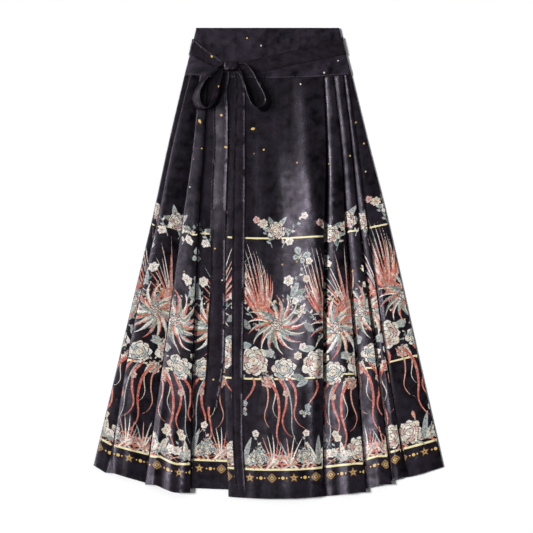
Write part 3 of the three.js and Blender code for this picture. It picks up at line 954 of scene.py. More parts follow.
def bouquet(p, way, seed):
    """One repeat of the main print: blades, a swirling bloom, peonies, vines and trailing streamers."""
    draw = random.Random(seed)
    lean = draw.uniform(-7, 7)
    wheel = draw.uniform(48, 58)
    sink = draw.uniform(-22, 22)
    shapes = []
    put = putter(shapes, p, way, sink)
    put(vine, -16, 330, way * -24, 74, way * -0.2, "mist", ("cream", "teal", "mist"), "ivory")
    put(vine, 4, 330, way * 16, 62, way * 0.25, "teal", ("mist", "cream", "sky"), "rose")
    for angle, length, ink in (
        (-84, 30, "teal"), (-30, 34, "mist"), (36, 32, "teal"), (88, 28, "mist"), (150, 26, "teal"),
    ):
        put(leaf, -4, 296, way * angle, length, 11, ink, "cream", 0.12)
    put(peony, -4, 296, 18, ("ivory", "cream", "rose"), lean)
    put(blossom, 22, 282, 10, "cream", "coral", 7, 10)
    put(blossom, -30, 318, 9, "ivory", "mustard", 6, 20)
    put(spray, 22, 470, way * 6 + lean, 162, 11, 58, ("cream", "mist", "ivory", "rose"), 3, way * 0.24)
    put(spray, 20, 472, way * 4 + lean, 118, 12, 78, ("coral", "salmon", "coral", "rose"), 6, way * 0.22)
    put(vine, -30, 440, way * -14, 88, way * -0.22, "teal", ("mist", "teal", "cream"), "ivory")
    put(vine, -34, 446, way * -52, 54, way * -0.2, "mist", ("cream", "mist", "sky"), "cream")
    for angle, length, ink in ((-96, 30, "mist"), (-60, 36, "teal"), (-22, 30, "mist")):
        put(leaf, -36, 428, way * angle, length, 12, ink, "cream" if ink == "teal" else "teal", 0.12)
    put(butterfly, -52, 350, 22, way * -28)
    put(butterfly, 70, 452, 15, way * 34, "cream", "sky")
    put(blossom, -30, 396, 11, "ivory", "mustard", 6, 5)
    put(blossom, 60, 386, 8, "cream", "coral", 5, 40)
    put(scatter, -4, 470, 46, 50, 66, ("moss", "teal", "cream", "mustard", "rose", "mist"), 3.2, seed + 1)
    put(swirl, -8, 484, wheel, 34, ("coral", "cream", "teal", "coral", "mist", "ivory"), way, 0.13)
    put(swirl, -8, 484, wheel * 0.62, 21, ("teal", "cream", "coral", "moss", "mist"), way, 0.17)
    put(peony, -8, 484, 13, ("ivory", "rose", "cream"), lean)
    put(leaf, 44, 492, way * 50, 30, 13)
    put(leaf, 42, 524, way * 96, 32, 14, "mist", "teal")
    put(vine, 40, 470, way * 34, 58, way * 0.2, "mist", ("teal", "cream"), "ivory")
    put(scatter, 20, 560, 44, 30, 44, ("cream", "mustard", "teal", "rose", "mist"), 3, seed + 2)
    put(peony, 38, 556, 30, ("ivory", "cream", "rose"), 12 + lean)
    put(peony, -22, 572, 24, ("cream", "ivory", "mist"), 30 - lean)
    put(peony, 10, 596, 14, ("rose", "cream"), 0)
    put(blossom, 6, 540, 10, "mist", "mustard", 5, 10)
    put(blossom, 66, 520, 8, "ivory", "coral", 5, 30)
    put(blossom, -50, 546, 9, "cream", "mustard", 6, 0)
    put(leaf, -40, 584, way * -112, 30, 13)
    put(leaf, 56, 584, way * 128, 28, 12, "mist", "teal")
    put(streamers, 0, 588, (
        (-28, 104, -30, 12, 5.5, "coral"), (-18, 146, -34, 9, 3, "mist"), (-10, 122, -24, 14, 6.5, "coral"),
        (4, 84, -12, 8, 3, "cream"), (12, 160, -40, 16, 6.5, "coral"), (24, 108, -20, 12, 3.6, "salmon"),
        (40, 66, 14, 8, 5, "coral"),
    ), way)
    put(blossom, -26, 620, 8, "rose", "mustard", 6, 12)
    put(blossom, 58, 640, 7, "sky", "cream", 5, 18)
    for _ in range(5):
        put(disc, draw.uniform(-60, 60), draw.uniform(330, 460), draw.uniform(1.2, 2.2), "mustard")
    return shapes


# The waves of the border: place, height, length and ink
BORDER_WAVES = (
    (-70, 6, 92, "coral"), (-62, 14, 78, "cream"), (-30, 9, 96, "rose"), (20, 12, 88, "coral"),
    (34, 7, 70, "mist"), (-8, 16, 64, "cream"), (60, 10, 60, "salmon"), (-48, 20, 70, "coral"),
    (10, 19, 84, "salmon"), (72, 17, 66, "coral"), (-80, 12, 60, "ivory"),
)


def border(p, way, seed):
    """One repeat of the lower border: grasses, leaves, a peony and low waves over the last line."""
    shapes = []
    put = putter(shapes, p, way)
    for x, lift, reach, ink in BORDER_WAVES:
        wave = ((-reach / 2, 777), (-reach / 6, 776 - lift * 1.5), (reach / 5, 774 - lift), (reach / 2, 776))
        shapes += streak([(p + way * (x + out), v) for out, v in wave], 4, ink, 0.6)
    put(vine, -30, 768, way * -10, 60, way * 0.2, "mist", ("cream", "mist", "teal"), "ivory")
    put(vine, 66, 768, way * 12, 52, way * -0.2, "teal", ("mist", "cream"), "cream")
    put(spray, -62, 772, way * 6, 66, 9, 100, ("ivory", "coral", "mist", "salmon", "cream"), 4, way * 0.2)
    for foot, angle, length, ink in (
        (-8, -62, 40, "mist"), (-6, -34, 52, "cream"), (-4, -8, 58, "mist"), (-2, 20, 48, "teal"),
        (0, 48, 40, "cream"), (46, -48, 34, "teal"), (48, -16, 42, "mist"), (50, 18, 40, "cream"),
        (52, 50, 34, "mist"),
    ):
        put(leaf, foot, 770, way * angle, length, 10.5, ink, "teal" if ink != "teal" else "mist", 0.14)
    put(petal, 6, 726, way * 16, 20, 7, "salmon", 0.1)
    put(peony, 22, 748, 25, ("ivory", "cream", "rose"), 8)
    put(peony, -34, 752, 17, ("cream", "mist"), 0)
    put(blossom, 62, 724, 8, "cream", "mustard", 5, 0)
    put(blossom, 74, 752, 10, "ivory", "mustard", 6, 20)
    put(blossom, 48, 756, 7, "ivory", "coral", 5, 10)
    put(blossom, -82, 756, 8, "rose", "mustard", 5, 30)
    put(scatter, 0, 768, 78, 8, 44, ("coral", "teal", "cream", "mustard", "moss", "mist"), 2.8, seed)
    return shapes


# Where the repeats stand along each panel: p and the way they face
OUTER_REPEATS = ((-40, 1), (96, -1), (222, -1), (306, 1), (422, -1), (530, 1), (664, -1))
INNER_REPEATS = ((8, 1), (142, 1), (284, -1), (424, 1))
BORDER_PITCH = 158
LINES_START = -140  # the lines start this far before a front panel's first face


def panel_shapes(repeats, width, shift):
    """Everything printed on one panel, the first shapes undermost."""
    shapes = line_shapes(width, LINES_START) + row_shapes(width)
    for k, (p, way) in enumerate(repeats):
        shapes += bouquet(p, way, 11 * k + 3)
        shapes += butterfly((p + 62 * way, 668), 14, 24 * way, "mist", "teal")
    for k in range(int(width / BORDER_PITCH) + 2):
        shapes += border(k * BORDER_PITCH + shift, 1 if k % 2 else -1, 7 * k + shift)
    return shapes


BEAN_SIZE = 6
FLECK_CLEAR = 3  # no fleck lies nearer to a face's side


def speck(at, size, ink, turn=0):
    """A small printed fleck: a dot, or a bean if it is large."""
    if size < BEAN_SIZE:
        return disc(at, size / 2, ink)
    return petal((at[0] - size / 2, at[1]), 90 + turn, size, size * 0.62, ink, 0.16, 0.55)


def print_place(faces, x, drop):
    """Where the print lies at a place seen from above, as p and v of the nearest face there."""
    places = []
    for face in faces:
        share = np.array([(drop - BAND_DROP) / CLOTH_LENGTH])
        for _ in range(6):
            share = np.clip(share + (drop - face.surface(x, share)[1]) / CLOTH_LENGTH, 0, 1)
        left, right = face.left.x(share)[0], face.right.x(share)[0]
        inside = min(max(x, left + FLECK_CLEAR), right - FLECK_CLEAR)
        anchored = left if face.anchor == LEFT else right
        height = face.surface(x, share)[0][0]
        places.append((abs(inside - x), -height, face.start + inside - anchored, share[0] * CLOTH_LENGTH))
    return min(places)[2:]


def specks_on(faces, places):
    """The flecks of a panel, from where they lie as seen from above."""
    shapes = []
    for x, drop, size, ink in places:
        shapes += speck(print_place(faces, x, drop), size, ink, x)
    return shapes


# The small flecks: x and drop as they lie, size and ink
BAND_SPECKS = (
    (-43, 20.6, 3.4, "gold"), (-15, 35.6, 3.4, "cream"), (-151.4, 82.6, 3.6, "gold"), (111, 89.6, 4, "cream"),
    (139, 65.6, 3.4, "cream"), (-125, 96.6, 4, "ivory"),
)
OUTER_SPECKS = (
    (64, 112.8, 3.6, "cream"), (-31, 203.6, 9, "gold"), (-9.6, 243.6, 4, "gold"), (57, 269.6, 3.4, "gold"),
    (-29, 251, 3, "antique"), (120.4, 271.6, 3.4, "gold"), (166.6, 255.6, 3.4, "gold"),
    (180.2, 187.6, 7, "gold"), (190.6, 230.8, 3.4, "gold"), (194, 287, 3.2, "cream"),
)
INNER_SPECKS = (
    (-130, 192.6, 9, "gold"), (-133, 241, 3, "gold"), (-151, 262, 3, "antique"), (-157, 318, 3.4, "cream"),
)
TIE_SPECKS = {
    "tie_left": ((-113.6, 57.6, 5, "gold"),),
    "tie_tail_short": (
        (-93.6, 173.6, 5, "gold"), (-85.5, 237.6, 7.5, "gold"), (-107, 441.6, 3.6, "gold"),
        (-93, 503.6, 3.6, "cream"), (-111, 701.6, 4, "gold"),
    ),
    "bow_loop_left": ((-99, 119.6, 4.6, "gold"),),
    "bow_loop_right": ((-17, 113.6, 4.6, "gold"),),
}


def face_shapes(face, shapes):
    """The shapes that reach into a face."""
    v = np.linspace(0, CLOTH_LENGTH, 20)
    low, high = face.p_range(v)
    low, high = low.min(), high.max()
    return [s for s in shapes if s[0][:, 0].max() > low and s[0][:, 0].min() < high]


FACE_COLUMNS = (1.5, 3.6, 6.8, 11)  # columns of points along both sides of a face: how far in


def panel_cloth(faces, folds, side, side_first, shapes):
    """A pleated front panel: a printed patch for each face and a turned strip for each fold."""
    cloth = Cloth()
    rows = np.linspace(0, CLOTH_LENGTH, round(CLOTH_LENGTH / ROW_STEP) + 1)
    share = rows / CLOTH_LENGTH

    def drop_at(x, hem):
        return mix(seam_drop(x[0]), hem, share)

    for face in faces:
        own_shapes = face_shapes(face, shapes)
        cloth.patch(face.p_range, CLOTH_LENGTH, face.place, own_shapes, columns=FACE_COLUMNS)
    for fold, face in zip(folds, faces):
        stations = fold_stations(fold, share)[1]
        upper = range(TURN_STEPS + 1)
        if fold["way"] == LEFT:
            upper = range(len(stations) - TURN_STEPS - 1, len(stations))
        lift = along(fold["lift"], share)
        stations = [(x, z + lift * (k in upper), hem) for k, (x, z, hem) in enumerate(stations)]
        cloth.strip_through(stations, rows, face.p_range(rows)[1], drop_at)
    sign = math.copysign(1, side["x"][0])
    edge = along(side["x"], share)
    stations = half_turn(edge - sign * (LAYER + WALL) / 2, level(1), level(0), sign, side["hem"])
    stations.append((edge - sign * BACK_TURN, level(0), back_hem(side["x"][-1] - sign * BACK_TURN)))
    if side_first:
        cloth.strip_through(stations[::-1], rows, faces[0].p_range(rows)[0] - BACK_TURN, drop_at)
    else:
        cloth.strip_through(stations, rows, faces[-1].p_range(rows)[1], drop_at)
    return cloth


BACK_PRINT_WIDTH = 800  # the print lies over the back from its middle outwards
BACK_STEP = 14


def back_cloth(shapes):
    """The plain panel behind, its right side towards the surface that it lies on."""
    cloth = Cloth()

    def sides(v):
        share = v / CLOTH_LENGTH
        left = along(SIDE_LEFT["x"], share) + BACK_TURN + SEAM_GAP
        right = along(SIDE_RIGHT["x"], share) - BACK_TURN - SEAM_GAP
        return left, right

    def bounds(v):
        left, right = sides(v)
        return (BACK_PRINT_WIDTH - (right - left)) / 2, (BACK_PRINT_WIDTH + (right - left)) / 2

    def place(p, v):
        left, right = sides(v)
        across = (p - BACK_PRINT_WIDTH / 2) / (right - left) + 0.5
        x = mix(right, left, across)
        hem_x = mix(SIDE_RIGHT["x"][-1] - BACK_TURN, SIDE_LEFT["x"][-1] + BACK_TURN, across)
        first = sides(0 * v)
        seam_x = mix(first[1], first[0], across)
        drop = mix(seam_drop(seam_x), back_hem(hem_x), v / CLOTH_LENGTH)
        return np.stack([x, LENGTH / 2 - drop, level(0) + 0 * x], 1)

    cloth.patch(bounds, CLOTH_LENGTH, place, shapes, step=BACK_STEP)
    return cloth


BAND_HEIGHT = 100  # the length of its flat cloth from the waist edge down
BAND_ROW_STEP = 4
BAND_STEP = 5
BAND_BEHIND_STEPS = 8  # columns of points across the back, and again across the under end


def band_cloth(shapes):
    """The waistband: one strip wound round, its front end over its under end."""
    cloth = Cloth()
    right_inset = (BAND_FRONT_Z - level(0) + WALL) / 2

    def band_drop(x, share):
        return share * (seam_drop(x) - BAND_GAP)

    def front_bounds(v):
        share = v / BAND_HEIGHT
        left = along(BAND_END_X, share, BAND_END_SHARES)
        return left, mix(BAND_TOP_RIGHT, SIDE_RIGHT["x"][0], share) - right_inset

    def front_place(p, v):
        share = v / BAND_HEIGHT
        z = BAND_FRONT_Z + band_relief(p, v)
        return np.stack([p, LENGTH / 2 - band_drop(p, share), z], 1)

    cloth.patch(front_bounds, BAND_HEIGHT, front_place, shapes, step=BAND_STEP, row_step=BAND_ROW_STEP)
    rows = np.linspace(0, BAND_HEIGHT, round(BAND_HEIGHT / BAND_ROW_STEP) + 1)
    share = rows / BAND_HEIGHT
    left = mix(BAND_TOP_LEFT, SIDE_LEFT["x"][0], share)
    right = mix(BAND_TOP_RIGHT, SIDE_RIGHT["x"][0], share)
    stations = half_turn(right - right_inset, BAND_FRONT_Z, level(0), RIGHT, 0)
    left_turn = half_turn(left + (LAYER + WALL) / 2, level(0), level(1), LEFT, 0)
    shares = [k / BAND_BEHIND_STEPS for k in range(1, BAND_BEHIND_STEPS + 1)]
    last, first = stations[-1][0], left_turn[0][0]
    stations += [(mix(last, first, t), level(0), 0) for t in shares[:-1]]
    stations += left_turn
    start = left_turn[-1][0]
    stations += [(mix(start, BAND_UNDER_END, t), level(1), 0) for t in shares]
    cloth.strip_through(stations, rows, front_bounds(rows)[1], lambda x, hem: band_drop(x, share))
    return cloth


# Soft hollows and swells of the waistband: x, distance down, half width across and down, height
BAND_SWELLS = (
    (-20, 20, 60, 22, 0.8),
    (70, 16, 40, 18, 0.6),
    (-120, 76, 10, 6, 0.9),
    (-105, 88, 8, 10, 0.7),
    (110, 80, 40, 10, 0.7),
    (30, 92, 50, 8, 0.5),
)


def band_relief(x, v):
    swell = 0 * x
    for middle, down, half, half_down, height in BAND_SWELLS:
        swell = swell + height * np.exp(-((x - middle) / half) ** 2 - ((v - down) / half_down) ** 2)
    return swell


# The narrow hem along both edges of a ribbon: its width, how far it stands up, and the step down
HEM_WIDTH = 2.4
HEM_RIDGE = 0.45
HEM_STEP = 0.8


# How a place on a ribbon is searched for, and how much a higher place comes before a nearer one
SEARCH_ROWS = 160
SEARCH_COLUMNS = 17
HIGHER_FIRST = 0.1


class Ribbon:
    """A flat ribbon between two edges, each a list of places in x, y and z."""

    def __init__(self, left, right, belly=0):
        self.left = np.array(left, float)
        self.right = np.array(right, float)
        self.belly = belly
        middle = (self.left + self.right) / 2
        steps = np.linalg.norm(np.diff(middle, axis=0), axis=1)
        self.at = np.concatenate([[0], np.cumsum(steps)])
        self.length = self.at[-1]

    def edges(self, s):
        left = np.stack([along(self.left[:, k], s, self.at) for k in range(3)], 1)
        right = np.stack([along(self.right[:, k], s, self.at) for k in range(3)], 1)
        return left, right

    def bounds(self, s):
        left, right = self.edges(s)
        half = np.linalg.norm(right - left, axis=1) / 2
        return -half, half

    def locate(self, x, drop):
        """The place on the ribbon nearest to one seen from above, as p and s."""
        s = np.linspace(0, self.length, SEARCH_ROWS)
        low, high = self.bounds(s)
        columns = np.linspace(0.1, 0.9, SEARCH_COLUMNS)
        p = np.stack([mix(low, high, t) for t in columns], 1).ravel()
        s = np.repeat(s, SEARCH_COLUMNS)
        spots = self.place(p, s)
        away = np.hypot(spots[:, 0] - x, spots[:, 1] - (LENGTH / 2 - drop)) - spots[:, 2] * HIGHER_FIRST
        nearest = np.argmin(away)
        return p[nearest], s[nearest]

    def specks(self, places):
        shapes = []
        for x, drop, size, ink in places:
            shapes += speck(self.locate(x, drop), size, ink)
        return shapes

    def place(self, p, s):
        left, right = self.edges(s)
        across = right - left
        width = np.linalg.norm(across, axis=1)
        before, after = self.edges(np.maximum(s - 1, 0)), self.edges(np.minimum(s + 1, self.length))
        forward = (after[0] + after[1]) - (before[0] + before[1])
        normal = np.cross(forward, across)
        normal /= np.linalg.norm(normal, axis=1)[:, None]
        inwards = width / 2 - np.abs(p)
        ridge = HEM_RIDGE * ease((HEM_WIDTH - inwards) / HEM_STEP)
        swell = self.belly * (1 - (2 * p / width) ** 2)
        share = (p / width + 0.5)[:, None]
        return left + across * share + normal * (ridge + swell)[:, None]


def ribbon_cloth(ribbon, shapes):
    """A ribbon as one patch, with a narrow turned hem along both edges."""
    cloth = Cloth()
    columns = (HEM_WIDTH - HEM_STEP, HEM_WIDTH)
    steps = {"step": 4, "row_step": 3, "edge_step": 2}
    cloth.patch(ribbon.bounds, ribbon.length, ribbon.place, shapes, columns=columns, **steps)
    return cloth


def up_the_skirt(x, drop, z):
    return (x, LENGTH / 2 - drop, z)


TIE_BELLY = 0.5  # how far the middle of a tie and of a tail swells
TAIL_BELLY = 0.6


def tie_ribbon(rows):
    """A waist tie: it comes round the waistband's side and runs to the knot."""
    sign = math.copysign(1, rows[0][0])
    places = [(out * sign * TIE_TURN_OUT, rows[0], z) for out, z in TIE_TURN]
    places.append((-sign * TIE_TURN_BACK, rows[0], TIE_Z))
    places += [(0, row, TIE_Z) for row in rows[1:]]
    upper = [up_the_skirt(row[0] + shift, row[1], z) for shift, row, z in places]
    lower = [up_the_skirt(row[2] + shift, row[3], z) for shift, row, z in places]
    return Ribbon(upper, lower, TIE_BELLY) if sign > 0 else Ribbon(lower, upper, TIE_BELLY)


TAIL_STEP = 8
TAIL_OVER_BAND = 0.6  # how far a tail clears the waistband's front
TAIL_BELOW_SEAM = 7  # how far beneath the waist seam it still does
TAIL_RISE = (110, 170)  # the drops between which the raised edge of a tail comes up
TAIL_FALL = (320, 480)  # and those between which it goes down again
NEIGHBOURS = 2


def over_neighbours(heights, gather):
    """Each height gathered from itself and its neighbours on both sides."""
    padded = np.pad(heights, NEIGHBOURS, mode="edge")
    return gather([padded[k:k + len(heights)] for k in range(2 * NEIGHBOURS + 1)], axis=0)


def tail_ribbon(rows, slant, lift):
    """A hanging tail: it lies on whatever cloth is beneath it."""
    table = np.array(rows, float)
    drops = np.linspace(table[0, 0], table[-1, 0], int((table[-1, 0] - table[0, 0]) / TAIL_STEP))
    left = along(table[:, 1], drops, table[:, 0])
    right = along(table[:, 2], drops, table[:, 0])
    tops = np.max([cloth_top(mix(left, right, t), drops) for t in np.linspace(-0.05, 1.05, 7)], axis=0)
    over_band = np.maximum(tops, BAND_FRONT_Z + TAIL_OVER_BAND)
    tops = np.where(drops < BAND_DROP + TAIL_BELOW_SEAM, over_band, tops)
    smooth = over_neighbours(over_neighbours(tops, np.max), np.mean)
    z = np.maximum(smooth, tops) + WALL + SEAM_GAP
    ends = np.zeros(len(drops))
    ends[-1] = slant
    risen = ease((drops - TAIL_RISE[0]) / (TAIL_RISE[1] - TAIL_RISE[0]))
    raised = lift * risen * ease((TAIL_FALL[1] - drops) / (TAIL_FALL[1] - TAIL_FALL[0]))
    left_edge = [up_the_skirt(*row) for row in zip(left, drops, z)]
    right_edge = [up_the_skirt(*row) for row in zip(right, drops + ends, z + raised)]
    return Ribbon(left_edge, right_edge, TAIL_BELLY)


def loop_ribbon(rows, lean):
    """A loop of the bow: a ribbon that stands on its edge."""
    upper, lower = [], []
    for x, drop, low, high, share in rows:
        upper.append(up_the_skirt(x, drop, high))
        lower.append(up_the_skirt(x + lean[0] * share, drop + lean[1] * share, low))
    return Ribbon(upper, lower)


def group_tree(name, inputs, outputs):
    """A node group with its inputs and outputs, and its two end nodes."""
    tree = bpy.data.node_groups.new(name, "ShaderNodeTree")
    for label, kind, value in inputs:
        socket = tree.interface.new_socket(label, in_out="INPUT", socket_type=kind)
        if value is not None:
            socket.default_value = value
    for label, kind in outputs:
        tree.interface.new_socket(label, in_out="OUTPUT", socket_type=kind)
    return tree, tree.nodes.new("NodeGroupInput"), tree.nodes.new("NodeGroupOutput")


def feed(tree, socket, value):
    """Links a socket to the output that is given, or fills in a plain value."""
    if isinstance(value, bpy.types.NodeSocket):
        tree.links.new(value, socket)
    else:
        socket.default_value = value


def node(tree, kind, settings=None, **inputs):
    """A node with some of its settings, and its inputs linked or filled in."""
    made = tree.nodes.new(kind)
    for key, value in (settings or {}).items():
        setattr(made, key, value)
    for key, value in inputs.items():
        feed(tree, made.inputs[key.replace("_", " ")], value)
    return made


def math_node(tree, operation, first, second):
    """A Math node whose two numbers are links or plain values."""
    made = node(tree, "ShaderNodeMath", {"operation": operation})
    feed(tree, made.inputs[0], first)
    feed(tree, made.inputs[1], second)
    return made.outputs[0]


def summed(tree, first, first_share, second, second_share):
    """The sum of two numbers, each times its share."""
    first = math_node(tree, "MULTIPLY", first, first_share)
    return math_node(tree, "ADD", first, math_node(tree, "MULTIPLY", second, second_share))


def ranged(tree, value, low, high, to_low=0.0, to_high=1.0):
    limits = {"From_Min": low, "From_Max": high, "To_Min": to_low, "To_Max": to_high}
    return node(tree, "ShaderNodeMapRange", Value=value, **limits).outputs["Result"]


def mixed(tree, share, first, second):
    """A mix of two colours."""
    made = node(tree, "ShaderNodeMix", {"data_type": "RGBA"}, Factor=share, A=first, B=second)
    return made.outputs["Result"]


def split_up(tree, vector):
    """The outputs of a vector's parts."""
    return node(tree, "ShaderNodeSeparateXYZ", Vector=vector).outputs


def scaled_noise(tree, vector, stretch, scale, detail, roughness=0.5):
    """Noise on a stretched vector."""
    stretched = node(tree, "ShaderNodeMapping", Vector=vector, Scale=stretch).outputs["Vector"]
    values = {"Vector": stretched, "Scale": scale, "Detail": detail, "Roughness": roughness}
    return node(tree, "ShaderNodeTexNoise", **values).outputs["Fac"]


VECTOR_INPUT = ("Vector", "NodeSocketVector", None)
HEIGHT_OUTPUT = ("Height", "NodeSocketFloat")
THREADS_PER_METRE = 1400
THREAD_SLANT = 0.35  # how far a thread moves sideways for its length
CELLS_PER_METRE = 290


def mottle_group():
    """Tone on tone clouding of the dyed satin: a mask from 0 to 1."""
    tree, start, end = group_tree("tone on tone mottling", [VECTOR_INPUT], [("Mask", "NodeSocketFloat")])
    small = scaled_noise(tree, start.outputs["Vector"], (1, 1, 1), 60, 3, 0.55)
    large = scaled_noise(tree, start.outputs["Vector"], (1, 0.7, 1), 22, 2)
    clouds = summed(tree, small, 0.6, large, 0.4)
    feed(tree, end.inputs["Mask"], ranged(tree, clouds, 0.38, 0.62))


def weave_group():
    """The slanted threads of a satin weave, as a height from 0 to 1."""
    inputs = [VECTOR_INPUT, ("Threads per metre", "NodeSocketFloat", THREADS_PER_METRE)]
    tree, start, end = group_tree("satin weave", inputs, [HEIGHT_OUTPUT])
    place = split_up(tree, start.outputs["Vector"])
    turns = math_node(tree, "MULTIPLY", start.outputs["Threads per metre"], 2 * math.pi)
    slant = math_node(tree, "MULTIPLY", place["Y"], THREAD_SLANT)
    slanted = math_node(tree, "ADD", place["X"], slant)
    wave = math_node(tree, "SINE", math_node(tree, "MULTIPLY", slanted, turns), 0.0)
    feed(tree, end.inputs["Height"], ranged(tree, wave, -1, 1))


def ripple_group():
    """Soft drawn-out ripples that run down the cloth, as a height from 0 to 1."""
    tree, start, end = group_tree("soft ripples", [VECTOR_INPUT], [HEIGHT_OUTPUT])
    long = scaled_noise(tree, start.outputs["Vector"], (1, 0.14, 1), 34, 2)
    short = scaled_noise(tree, start.outputs["Vector"], (1, 0.55, 1), 60, 2)
    feed(tree, end.inputs["Height"], summed(tree, long, 0.75, short, 0.25))


def detail_group():
    """Fine cells within the print: an even random tone for each cell, and a mask of their outlines."""
    inputs = [VECTOR_INPUT, ("Cells per metre", "NodeSocketFloat", CELLS_PER_METRE)]
    outputs = [("Tone", "NodeSocketFloat"), ("Outline", "NodeSocketFloat")]
    tree, start, end = group_tree("fine print detail", inputs, outputs)
    place = {"Vector": start.outputs["Vector"], "Scale": start.outputs["Cells per metre"]}
    cells = node(tree, "ShaderNodeTexVoronoi", **place)
    edges = node(tree, "ShaderNodeTexVoronoi", {"feature": "DISTANCE_TO_EDGE"}, **place)
    feed(tree, end.inputs["Tone"], split_up(tree, cells.outputs["Color"])["X"])
    feed(tree, end.inputs["Outline"], ranged(tree, edges.outputs["Distance"], 0.05, 0.14, 1, 0))


# The tones of the fine cells, each from its place on the ramp on, and the ink of their outlines
CELL_TONES = (
    (0, "e6dfd0"), (0.3, "7d918e"), (0.48, "c4675a"), (0.62, "b9b6a4"), (0.8, "cdb074"), (0.9, "463c46"),
)
CELL_STRENGTH = 0.28
OUTLINE_INK = "2c232c"
OUTLINE_STRENGTH = 0.42


def detailed_ink(tree, uv, ink):
    """The print's ink with small marks in other tones and thin dark outlines."""
    detail = use_group(tree, "fine print detail", uv)
    tones = node(tree, "ShaderNodeValToRGB", Fac=detail["Tone"])
    tones.color_ramp.interpolation = "CONSTANT"
    steps = tones.color_ramp.elements
    for place, code in CELL_TONES:
        step = steps.new(place) if place else steps[0]
        step.color = (*linear(code), 1)
    steps.remove(steps[-1])
    fine = ranged(tree, ink["Alpha"], PLAIN, 1)
    share = math_node(tree, "MULTIPLY", fine, CELL_STRENGTH)
    marked = mixed(tree, share, ink["Color"], tones.outputs["Color"])
    outline = math_node(tree, "MULTIPLY", fine, detail["Outline"])
    share = math_node(tree, "MULTIPLY", outline, OUTLINE_STRENGTH)
    return mixed(tree, share, marked, (*linear(OUTLINE_INK), 1))


def use_group(tree, name, uv):
    """The outputs of one of the shared groups, placed on the cloth."""
    made = node(tree, "ShaderNodeGroup", {"node_tree": bpy.data.node_groups[name]})
    feed(tree, made.inputs["Vector"], uv)
    return made.outputs


SATIN_ROUGHNESS = 0.3
PALE_SMOOTHER = (0.06, -0.04)  # what the dark and the pale tone add to the roughness
INK_ROUGHER = 0.08
SATIN_SPECULAR = (0.38, 0.8)  # of the dark and of the pale tone
WEAVE_STRENGTH = 0.35
WEAVE_HEIGHT = 0.03


def new_material(name):
    """A new material and its shader."""
    material = bpy.data.materials.new(name)
    material.use_nodes = True
    return material, material.node_tree.nodes["Principled BSDF"]


def plain_material(name, tint, roughness):
    """A material of one colour, and its shader."""
    material, shader = new_material(name)
    shader.inputs["Base Color"].default_value = (*tint, 1)
    shader.inputs["Roughness"].default_value = roughness
    return material, shader


def satin(name, dark, pale, ripple):
    """Dyed satin, mottled and woven, with the print's inks from the mesh where it is printed."""
    material, shader = new_material(name)
    tree = material.node_tree
    uv = node(tree, "ShaderNodeUVMap", {"uv_map": "cloth"}).outputs["UV"]
    mottle = use_group(tree, "tone on tone mottling", uv)["Mask"]
    ground = mixed(tree, mottle, (*dark, 1), (*pale, 1))
    ink = node(tree, "ShaderNodeAttribute", {"attribute_name": "ink"}).outputs
    inked = ranged(tree, ink["Alpha"], 0, PLAIN)
    rough = ranged(tree, mottle, 0, 1, *[SATIN_ROUGHNESS + more for more in PALE_SMOOTHER])
    rough = math_node(tree, "ADD", rough, math_node(tree, "MULTIPLY", ink["Alpha"], INK_ROUGHER))
    ripples = use_group(tree, "soft ripples", uv)["Height"]
    soft = node(tree, "ShaderNodeBump", Strength=1.0, Distance=ripple * MM, Height=ripples)
    fine = node(
        tree, "ShaderNodeBump", Strength=WEAVE_STRENGTH, Distance=WEAVE_HEIGHT * MM,
        Height=use_group(tree, "satin weave", uv)["Height"], Normal=soft.outputs["Normal"],
    )
    for key, value in (
        ("Base Color", mixed(tree, inked, ground, detailed_ink(tree, uv, ink))),
        ("Roughness", rough),
        ("Specular IOR Level", ranged(tree, mottle, 0, 1, *SATIN_SPECULAR)),
        ("Specular Tint", (0.92, 0.82, 1, 1)),
        ("Sheen Weight", 0.02),
        ("Sheen Roughness", 0.45),
        ("Sheen Tint", (0.62, 0.55, 0.66, 1)),
        ("Normal", fine.outputs["Normal"]),
    ):
        feed(tree, shader.inputs[key], value)


class SkirtSizes(bpy.types.PropertyGroup):
    cloth_thickness: bpy.props.FloatProperty(
        name="Cloth thickness", description="Thickness of the satin", default=0.9 * MM, min=0.2 * MM,
        max=2 * MM, unit="LENGTH",
    )
    loop_thickness: bpy.props.FloatProperty(
        name="Bow thickness", description="Thickness of the bow's folded ribbon", default=1.2 * MM,
        min=0.2 * MM, max=3 * MM, unit="LENGTH",
    )
    ripple: bpy.props.FloatProperty(
        name="Ripple", description="Height of the soft ripples, in millimetres", default=1.1, min=0, max=5,
    )
    camera_height: bpy.props.FloatProperty(
        name="Camera height", description="Height of the camera above the surface", default=3,
        unit="LENGTH",
    )


def colour(name, description, value):
    """A colour to be set in the sidebar."""
    return bpy.props.FloatVectorProperty(
        name=name, description=description, subtype="COLOR", size=3, default=value, min=0, max=1,
    )


class SkirtColours(bpy.types.PropertyGroup):
    cloth: colour("Cloth", "Dyed ground of the satin", linear("030203"))
    cloth_pale: colour("Cloth, pale", "Paler tone of the mottling", linear("1f1a22"))
    band: colour("Waistband", "Dyed ground of the waistband", linear("050306"))
    band_pale: colour("Waistband, pale", "Paler tone of the waistband's mottling", linear("2c2630"))
    ribbon: colour("Ribbon", "Ground of the ties and the bow", linear("0b080c"))
    ribbon_pale: colour("Ribbon, pale", "Paler tone of the ties and the bow", linear("221b23"))
    thread: colour("Thread", "Sewing thread of the waist seam", linear("5e5562"))
    floor: colour("Floor", "The pale surface beneath", (0.9, 0.9, 0.9))


RIBBON_RIPPLE = 0.6  # the ripples of a ribbon beside those of the panels


